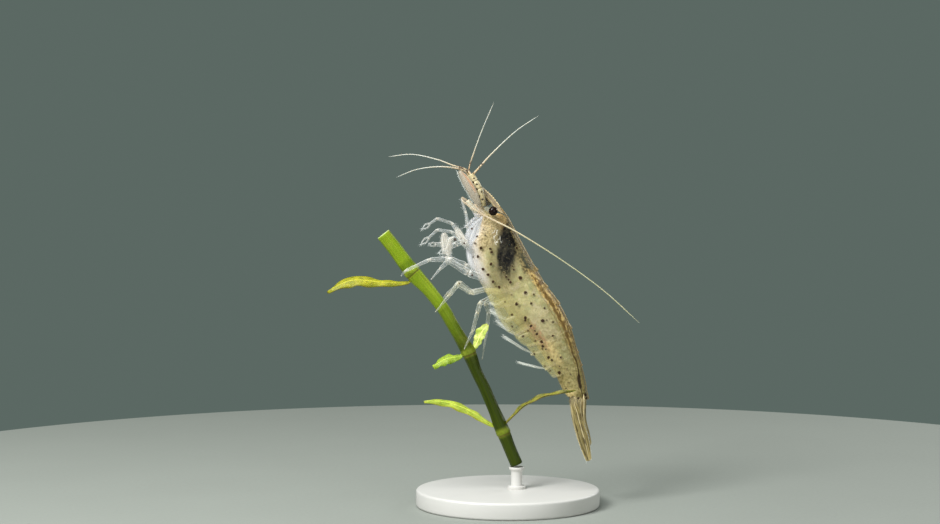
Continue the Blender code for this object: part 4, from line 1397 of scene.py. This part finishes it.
# Joints of each leg from the body to its tip, by x, outward and z.
LEGS = {
    (1, "left"): (
        (-5.95, 0.85, 36.9), (-6.5, 1.2, 37.6), (-7.9, 1.6, 37.9), (-9.2, 1.7, 37.1),
        (-10.9, 1.6, 37.1),
    ),
    (1, "right"): (
        (-5.95, 0.85, 36.9), (-6.4, 1.3, 37.4), (-7.3, 1.8, 37.0), (-8.6, 2.0, 36.4),
        (-9.6, 1.9, 35.7),
    ),
    (2, "left"): (
        (-5.7, 1.1, 35.4), (-6.3, 2.6, 37.3), (-7.9, 3.0, 38.9), (-9.9, 2.8, 39.2),
        (-12.1, 2.3, 37.2),
    ),
    (2, "right"): (
        (-5.7, 1.1, 35.4), (-6.4, 2.6, 37.9), (-7.9, 2.8, 39.9), (-10.0, 2.7, 40.6),
        (-12.0, 2.3, 39.2),
    ),
    (3, "left"): (
        (-4.5, 1.0, 32.0), (-5.6, 1.5, 33.1), (-8.6, 2.6, 35.1), (-11.0, 2.6, 35.0),
        (-14.4, 1.6, 33.4), (-15.1, 1.0, 32.6),
    ),
    (3, "right"): (
        (-4.5, 1.0, 32.2), (-6.0, 1.6, 33.9), (-8.2, 2.0, 34.8), (-9.6, 1.3, 33.5),
        (-10.9, 0.5, 32.0),
    ),
    (4, "left"): (
        (-3.85, 1.0, 30.7), (-5.1, 1.6, 30.3), (-6.9, 2.3, 31.8), (-8.2, 1.9, 30.0),
        (-10.3, 1.1, 27.5),
    ),
    (4, "right"): (
        (-3.85, 1.0, 30.7), (-5.3, 1.8, 30.1), (-7.0, 2.6, 31.2), (-8.6, 2.3, 29.8),
        (-9.9, 1.45, 28.2),
    ),
    (5, "left"): (
        (-3.35, 0.9, 29.6), (-3.95, 1.4, 28.8), (-4.3, 1.8, 27.6), (-5.0, 1.8, 24.9),
        (-6.2, 1.5, 22.3),
    ),
    (5, "right"): (
        (-3.35, 0.9, 29.6), (-3.1, 1.5, 28.5), (-2.7, 2.0, 27.3), (-2.9, 2.0, 25.3),
        (-3.65, 0.7, 20.6),
    ),
}
# Half thickness of each pair at its joints.
LEG_SIZES = {
    1: (0.40, 0.44, 0.38, 0.36, 0.26),
    2: (0.36, 0.34, 0.24, 0.20, 0.16),
    3: (0.46, 0.54, 0.46, 0.26, 0.20, 0.06),
    4: (0.36, 0.38, 0.36, 0.24, 0.06),
    5: (0.34, 0.36, 0.30, 0.22, 0.06),
}
# Brown marks on the legs by x, outward, z and radius.
LEG_DOTS = (
    (-6.83, 0, 38.75, 0.19), (-6.49, 0, 38.06, 0.18), (-7.43, 0, 37.79, 0.22),
    (-6.15, 0, 37.31, 0.16), (-8.93, 0, 35.62, 0.19), (-5.06, 0, 32.77, 0.16),
    (-4.39, 0, 31.12, 0.12), (-5.47, 0, 31.08, 0.10), (-6.83, 0, 31.69, 0.11),
    (-3.71, 0, 32.36, 0.12), (-9.30, 0, 29.10, 0.10), (-3.40, 0, 29.20, 0.11),
)
INTO_BODY = Vector((1.3, 0, 0.2))  # how far a leg's root reaches into the body
PALM = 0.62                        # share of the last segment that is palm, before the fingers


def limb_line(joints, sizes):
    """A limb's line: straight between joints, pinched at each and fuller beside it."""
    points, radii, marks = [], [], []
    for index in range(len(joints) - 1):
        near, far = joints[index], joints[index + 1]
        low, high = sizes[index], sizes[index + 1]
        for share, full in ((0.0, 0.74), (0.09, 1.0), (0.5, 0.92), (0.86, 1.04), (0.955, 0.96)):
            points.append(near.lerp(far, share))
            radii.append((low + (high - low) * share) * full)
            marks.append(index + share)
    points.append(joints[-1])
    radii.append(sizes[-1] * 0.6)
    marks.append(len(joints) - 1)
    return Line(points, radii), marks


def hand(line, tip, pieces):
    """Two slim fingers tipped with a brush of hairs."""
    middle, across, upright, along = line.frame(0.985)
    span = (tip - middle).length
    for way in (LEFT, RIGHT):
        spread = upright * 0.14 * way
        finger = Line([
            middle + spread * 0.7, middle + along * span * 0.5 + spread * 1.9,
            middle + along * span + spread * 0.3,
        ], [0.16, 0.13, 0.04])
        pieces.append(rod("finger", finger, 14, 10))
        for _ in range(60):
            root, _, rise, ahead = finger.frame(CHANCE.uniform(0.45, 1.0))
            fan = across * CHANCE.uniform(-0.5, 0.5) + rise * CHANCE.uniform(-0.4, 0.4)
            sow("limb", root, ahead + fan, CHANCE.uniform(0.35, 0.75), 0.014, 0.04)


def legs(limb, walking):
    """Five pairs: two with small hands and three that hold the stem."""
    for (number, name), joints in LEGS.items():
        side = dict(SIDES)[name]
        sizes = LEG_SIZES[number]
        if len(joints) < len(sizes):
            sizes = sizes[:3] + sizes[4:]
        joints = [at(*joint, side) for joint in joints]
        tip = joints[-1]
        joints[0] = joints[0] + INTO_BODY
        if number < 3:
            joints[-1] = joints[-2].lerp(tip, PALM)
        line, marks = limb_line(joints, sizes)

        def chart(share, line=line, marks=marks):
            return smooth(line.reach, marks, share * line.length) / LIMB_CHART

        pieces = [rod("limb", line, 130, 16, flat=0.86, chart=chart)]
        if number < 3:
            hand(line, tip, pieces)
        for _ in range(18):
            share = CHANCE.uniform(0.18, 0.93)
            middle, across, upright, along = line.frame(share)
            out = -upright * math.copysign(1, upright.z) + across * CHANCE.uniform(-0.4, 0.4)
            root = middle + out.normalized() * line.size(share) * 0.8
            sow("limb", root, out * 0.5 + along, CHANCE.uniform(0.14, 0.30), 0.016, 0.1)
        made = join(f"leg_{number}_{name}_limb", pieces)
        keep(painted(made, limb if number < 4 else walking), "limb", f"leg_{number}_{name}")


# Each pair's root, knee and tip by x and z, how far outward it lies and its width.
SWIMMERETS = {
    1: (((-0.20, 29.35), (-1.50, 28.45), (-2.70, 28.90)), 0.95, 0.62),
    2: (((1.30, 27.05), (-0.40, 26.25), (-2.70, 27.90)), 0.95, 0.62),
    3: (((3.05, 24.60), (1.40, 23.85), (-1.80, 26.30)), 0.86, 0.56),
    4: (((4.85, 21.95), (3.20, 21.45), (-0.80, 24.20)), 0.57, 0.36),
    5: (((6.25, 19.85), (5.20, 19.30), (1.30, 20.40)), 0.42, 0.27),
}


def swimmerets():
    """Paddle pairs: a stub, two thin blades turned half flat, and long streaming hairs."""
    paddle = fin_finish("paddle", (0.90, 0.93, 0.86), (0.50, 0.54, 0.42), 0.14, lines=0.3)
    root_finish = fin_finish("paddle_root", (0.66, 0.62, 0.40), (0.42, 0.38, 0.20), 0.6)
    for number, (points, outward, width) in SWIMMERETS.items():
        for name, side in SIDES:
            path = [at(x, outward, z, side) for x, z in points]
            inside = path[0] + (path[0] - path[1]).normalized() * 0.7
            stub = Line([inside, path[0], path[1]], [width * 0.5, width * 0.55, width * 0.5])
            pieces = [painted(rod("stub", stub, 24, 16, flat=1.2), root_finish)]
            rolled = Vector((-0.30, side * 0.8, -0.52))
            for way in (-0.45, 0.5):
                spread = Vector((0, way * width * side, 0))
                line = Line([
                    path[0].lerp(path[1], 0.75) + spread * 0.5,
                    path[1].lerp(path[2], 0.35) + spread,
                    path[1].lerp(path[2], 0.75) + spread * 1.1, path[2] + spread * 0.8,
                ], [width * 0.3, width * 0.55, width * 0.45, width * 0.1], rolled)
                pieces.append(painted(blade("paddle", line, 0.14, 30, 18, dished(0.06)), paddle))
                end, across, _, _ = line.frame(1.0)
                for step in range(24):
                    way_out = CHANCE.choice((LEFT, RIGHT)) * CHANCE.uniform(0.45, 1)
                    middle, _, upright, _ = line.frame(CHANCE.uniform(0.0, 0.6))
                    root = middle + across * way_out * width * 0.22
                    goal = end + across * way_out * width * 0.95
                    reach = goal + upright * CHANCE.uniform(-0.1, 0.1) - root
                    thick = 0.035 if step % 5 == 0 else 0.016
                    sow("fin", root, reach, reach.length + CHANCE.uniform(-1.0, 0.3), thick, 0.02)
            keep(join(f"pleopod_{number}_{name}_paddle", pieces), "fin", f"pleopod_{number}_{name}")
    for name, side in SIDES:
        for number in (2, 3):
            near, far = SWIMMERETS[number - 1], SWIMMERETS[number]
            for _ in range(50):
                share, out = CHANCE.random(), CHANCE.uniform(0.3, 1.3)
                root, end = (
                    at(near[0][place][0], out, near[0][place][1], side).lerp(
                        at(far[0][place][0], out, far[0][place][1], side), share)
                    for place in (1, 2)
                )
                reach = end - root
                sow("fin", root, reach, reach.length * CHANCE.uniform(0.6, 1.05), 0.02, 0.02)


TELSON = ((10.75, 0, 16.0), (10.85, 0, 15.05), (10.85, 0, 12.3), (11.35, 0, 10.2), (11.70, 0, 8.4))
# The tail fan's side plates: points by x, outward and z, then half widths.
UROPODS = {
    "inner": (
        (
            (10.3, 0.45, 15.6), (10.15, 0.60, 14.85), (10.30, 0.98, 12.0), (10.95, 1.12, 9.3),
            (11.55, 1.08, 7.0),
        ),
        (0.40, 0.48, 0.66, 0.62, 0.20),
    ),
    "outer": (
        (
            (9.35, 0.85, 15.7), (9.25, 1.15, 14.75), (9.58, 1.72, 13.5), (9.92, 1.98, 12.0),
            (10.65, 2.10, 9.4), (11.40, 1.95, 6.6),
        ),
        (0.48, 0.56, 0.72, 0.86, 0.88, 0.46),
    ),
}
UROPOD_ROLL = 1.05          # radians that they are turned about their length


def tail_fan():
    """The telson with its spines, and two fringed plates on each side of it."""
    fan = fan_finish("tail_fan", (0.52, 0.42, 0.17), (0.17, 0.125, 0.035), 0.60)
    telson_finish = fan_finish("telson", (0.52, 0.39, 0.14), (0.16, 0.115, 0.03), 0.86)
    line = model_line(TELSON, (0.70, 0.78, 0.80, 0.56, 0.22))
    made = blade("telson_plate", line, 0.50, 60, 28, dished(-0.14))
    keep(painted(made, telson_finish), "shell", "telson")
    spines = [(0.97 - 0.06 * abs(out), out) for out in (-0.6, -0.3, 0.0, 0.3, 0.6)]
    spines += [(share, out) for share in (0.55, 0.75) for out in (-0.9, 0.9)]
    for share, out in spines:
        middle, across, _, along = line.frame(share)
        sow("fin", middle + across * out * line.size(share), along, 0.5, 0.05, 0.0)

    def domed(share, width):
        return 0.10 * (1 - width * width)

    for place, (points, widths) in UROPODS.items():
        for name, side in SIDES:
            across = Vector((-math.sin(UROPOD_ROLL), side * math.cos(UROPOD_ROLL), 0))
            line = model_line(points, widths, side, across)
            made = blade(f"uropod_{place}_{name}_plate", line, 0.20, 60, 26, domed)
            keep(painted(made, fan), "fin", f"uropod_{place}_{name}")
            for step in range(110):
                share = 0.45 + 0.55 * step / 110
                middle, edge, _, along = line.frame(share)
                way = CHANCE.choice((LEFT, RIGHT))
                root = middle + edge * way * line.size(share) * 0.95
                sow("fin", root, along + edge * way * 0.30, CHANCE.uniform(0.25, 0.5), 0.022, 0.12)


# ---------------------------------------------------------------- perch and stand

# The stem from its upper end to its cut foot: x, z and radius.
STEM = (
    (-17.6, 38.5, 1.06), (-15.5, 35.8, 1.04), (-13.4, 33.0, 1.20), (-11.2, 30.6, 0.96),
    (-9.1, 27.9, 0.92), (-7.3, 24.8, 0.88), (-5.6, 21.9, 1.06), (-4.5, 19.2, 0.82),
    (-3.15, 16.4, 0.82), (-2.0, 13.7, 0.84), (-1.0, 11.3, 1.00), (0.05, 8.7, 0.90),
    (1.25, 5.8, 0.90),
)
STEM_NODES = (0.175, 0.543, 0.868)  # shares of the stem's length where leaves stand
SCAR_BELOW_NODE = 0.010
# Each leaf: points by x, outward and z; half widths; which way it spreads; and its darker,
# lighter and edge tones.
LEAVES = {
    "upper": (
        (
            (-13.6, 0.0, 32.0), (-14.15, 0.0, 31.6), (-17.4, -0.2, 31.6), (-22.0, -0.6, 31.9),
            (-25.5, -0.9, 30.4),
        ),
        (0.22, 0.30, 0.66, 1.02, 0.25), (0, 0.70, 0.70),
        ((0.17, 0.18, 0.005), (0.38, 0.36, 0.014), (0.09, 0.07, 0.006)),
    ),
    "middle_right": (
        ((-4.9, 0.0, 22.3), (-4.35, -0.1, 23.1), (-3.7, -0.2, 24.6), (-2.75, -0.2, 25.7)),
        (0.30, 0.58, 0.82, 0.30), (-0.8, 0.5, 0.4),
        ((0.36, 0.46, 0.06), (0.74, 0.80, 0.24), (0.42, 0.50, 0.10)),
    ),
    "middle_left": (
        ((-6.2, 0.0, 21.6), (-6.95, 0.0, 21.1), (-8.7, -0.2, 20.8), (-10.6, -0.3, 19.7)),
        (0.28, 0.45, 0.84, 0.36), (0, 0.6, 0.8),
        ((0.16, 0.25, 0.015), (0.36, 0.47, 0.045), (0.13, 0.22, 0.015)),
    ),
    "lower_left": (
        (
            (-1.7, 0.0, 11.2), (-2.45, 0.0, 11.5), (-5.2, -0.2, 13.3), (-8.4, -0.4, 14.6),
            (-11.9, -0.5, 14.9),
        ),
        (0.22, 0.34, 0.62, 0.60, 0.22), (0, 0.6, 0.8),
        ((0.26, 0.34, 0.03), (0.50, 0.58, 0.07), (0.34, 0.30, 0.03)),
    ),
    "lower_right": (
        (
            (-0.6, -0.1, 11.4), (0.10, -0.4, 12.2), (2.4, -1.2, 14.4), (5.2, -2.0, 15.8),
            (9.5, -2.4, 16.6),
        ),
        (0.22, 0.32, 0.46, 0.44, 0.12), (0, 0.9, 0.4),
        ((0.10, 0.10, 0.012), (0.27, 0.25, 0.035), (0.09, 0.06, 0.008)),
    ),
}


def perch():
    """The ribbed stem, swollen at its nodes, and its leaves."""
    route = [at(x, 0, z) for x, z, _ in STEM]
    line = Line(route, [radius * (0.93 if radius > 1.055 else 0.97) for _, _, radius in STEM])

    def relief(share, angle):
        ring = sum(hump(share, node, 0.010) for node in STEM_NODES)
        groove = sum(hump(share, node + SCAR_BELOW_NODE, 0.0022) for node in STEM_NODES)
        ribs = 0.018 * math.cos(9 * angle + share * 4) + 0.012 * math.cos(4 * angle + share * 9)
        wander = 0.012 * math.sin(share * 60 + 3 * angle)
        return 1 + ribs + wander + 0.07 * ring - 0.06 * groove

    made = rod("stem", line, 300, 72, relief, ends="cut")
    keep(painted(made, stem_finish()), "stem", "perch_stem")
    for place, (points, widths, across, tones) in LEAVES.items():
        leaf(place, model_line(points, widths, sideways=Vector(across)), tones)


def leaf(place, line, tones):
    """One leaf: cupped, rippled towards its edges, with a groove along its midrib."""
    swing = CHANCE.uniform(0, 6)

    def wave(share, width):
        ripple = 0.13 * math.sin(share * 23 + swing + width) * width ** 2 * ease(share, 0.1, 0.3)
        cup = 0.16 * width * width * ease(share, 0.05, 0.3)
        return ripple + cup - 0.04 * hump(width, 0, 0.12)

    def rim(share, width):
        return 1 + 0.05 * math.sin(share * 31 + swing + (2 if width > 0 else 0)) * abs(width)

    made = blade(f"leaf_{place}", line, 0.26, 90, 40, wave, rim)
    keep(painted(made, leaf_finish(f"leaf_{place}", *tones)), "leaf", f"perch_leaf_{place}")


BASE_RADIUS, BASE_HEIGHT = 13, 2.4
COLLAR_RADIUS, COLLAR_HEIGHT = 1.28, 0.42
# The post above its collar, ring by ring: its size against the last ring, and its rise.
POST_RINGS = ((0.625, 0.0), (1.0, 2.1), (1.35, 0.28), (1.0, 0.30), (0.84, 0.0), (1.0, -0.2))


def stand():
    """A turned base with a softened edge, and the rod with its collar and cup."""
    finish = plain_finish("stand", (0.60, 0.59, 0.56), 0.42, 0.12)
    clear()
    bpy.ops.mesh.primitive_cylinder_add(
        vertices=144, radius=BASE_RADIUS * MM, depth=BASE_HEIGHT * MM,
        location=(0, 0, BASE_HEIGHT / 2 * MM))
    base = fresh("stand_base_disc")
    soften(base, 0.35, 4)
    keep(painted(base, finish), "stand", "stand_base")
    foot = STEM[-1][0] * MM
    clear()
    bpy.ops.mesh.primitive_cylinder_add(
        vertices=48, radius=COLLAR_RADIUS * MM, depth=COLLAR_HEIGHT * MM,
        location=(foot, 0, (BASE_HEIGHT + COLLAR_HEIGHT / 2) * MM))
    post = fresh("stand_post")
    bpy.ops.object.mode_set(mode="EDIT")
    bpy.ops.mesh.select_mode(type="FACE")
    bpy.ops.mesh.select_all(action="DESELECT")
    bpy.ops.object.mode_set(mode="OBJECT")
    for face in post.data.polygons:
        face.select = face.normal.z > 0.9
    bpy.ops.object.mode_set(mode="EDIT")
    for size, rise in POST_RINGS:
        bpy.ops.mesh.extrude_region_move(TRANSFORM_OT_translate={"value": (0, 0, rise * MM)})
        bpy.ops.transform.resize(value=(size, size, 1), center_override=(foot, 0, 0))
    bpy.ops.object.mode_set(mode="OBJECT")
    soften(post, 0.05, 3)
    keep(painted(post, finish), "stand", "stand_rod")


def soften(made, width, segments):
    """Rounds a turned piece's sharp edges."""
    sharp = math.radians(40)
    choose(made)
    rounding = made.modifiers.new("rounding", "BEVEL")
    rounding.width = width * MM
    rounding.segments = segments
    rounding.limit_method = "ANGLE"
    rounding.angle_limit = sharp
    bpy.ops.object.modifier_apply(modifier=rounding.name)
    bpy.ops.object.shade_smooth_by_angle(angle=sharp)


# ---------------------------------------------------------------- studio


FLOOR_RADIUS = 120
MODEL_MIDDLE = Vector((-4.0, 0, 34.0)) * MM
VIEW_AIM = Vector((-5.36, 0, 34.55)) * MM
VIEW_TILT, VIEW_DISTANCE, VIEW_LENS = math.radians(3), 300, 81.5
# Lamps: name, place, size and power in watts.
LAMPS = (
    ("key", (-170, -170, 210), 110, 1.10),
    ("top", (-60, -70, 260), 150, 0.50),
    ("rim", (170, 150, 120), 90, 0.16),
    ("fill", (130, -240, 60), 200, 0.22),
)


def facing(name, data, place, goal):
    """A lamp or a camera at a place, turned to its goal."""
    made = bpy.data.objects.new(name, data)
    bpy.context.scene.collection.objects.link(made)
    made.location = place
    made.rotation_euler = (goal - made.location).to_track_quat("-Z", "Y").to_euler()
    return made


def studio():
    """The floor, the soft light all round, the lamps and the camera."""
    scene = bpy.context.scene
    clear()
    bpy.ops.mesh.primitive_circle_add(
        vertices=160, radius=FLOOR_RADIUS * MM, fill_type="NGON", location=(0, 0, 0))
    floor = fresh("floor")
    painted(floor, plain_finish("floor", (0.27, 0.29, 0.26), 0.7, 0.6))

    world = bpy.data.worlds.new("studio")
    scene.world = world
    world.use_nodes = True
    backdrop = world.node_tree.nodes["Background"]
    backdrop.inputs["Color"].default_value = (0.105, 0.140, 0.125, 1)
    backdrop.inputs["Strength"].default_value = 1.0

    for name, place, size, power in LAMPS:
        lamp = bpy.data.lights.new(name, "AREA")
        lamp.size = size * MM
        lamp.energy = power
        facing(name, lamp, Vector(place) * MM, MODEL_MIDDLE)

    view = bpy.data.cameras.new("view")
    view.lens = VIEW_LENS
    view.clip_start = 0.01
    back_off = Vector((0, -math.cos(VIEW_TILT), math.sin(VIEW_TILT))) * VIEW_DISTANCE * MM
    scene.camera = facing("view", view, VIEW_AIM + back_off, VIEW_AIM)
    scene.view_settings.view_transform = "Standard"
    scene.cycles.transparent_max_bounces = 24


def main():
    """Every piece in its turn; the noted hairs are grown once all limbs have been made."""
    limb = limb_finish("limb", (0.94, 0.96, 0.92), (0.92, 0.80, 0.62), LEG_DOTS)
    walking = limb_finish("walking_limb", (0.76, 0.76, 0.54), (0.70, 0.56, 0.28), LEG_DOTS, 0.10)
    body()
    eyes()
    rostrum()
    antennules()
    antennae()
    mouthparts(limb)
    legs(limb, walking)
    swimmerets()
    tail_fan()
    grow("limb", (1.0, 1.0, 0.98), (0.78, 0.84, 0.82))
    grow("fin", (0.98, 1.0, 0.96), (0.66, 0.72, 0.64))
    grow("feeler", (0.80, 0.72, 0.52), (0.56, 0.46, 0.28))
    perch()
    stand()
    studio()


main()
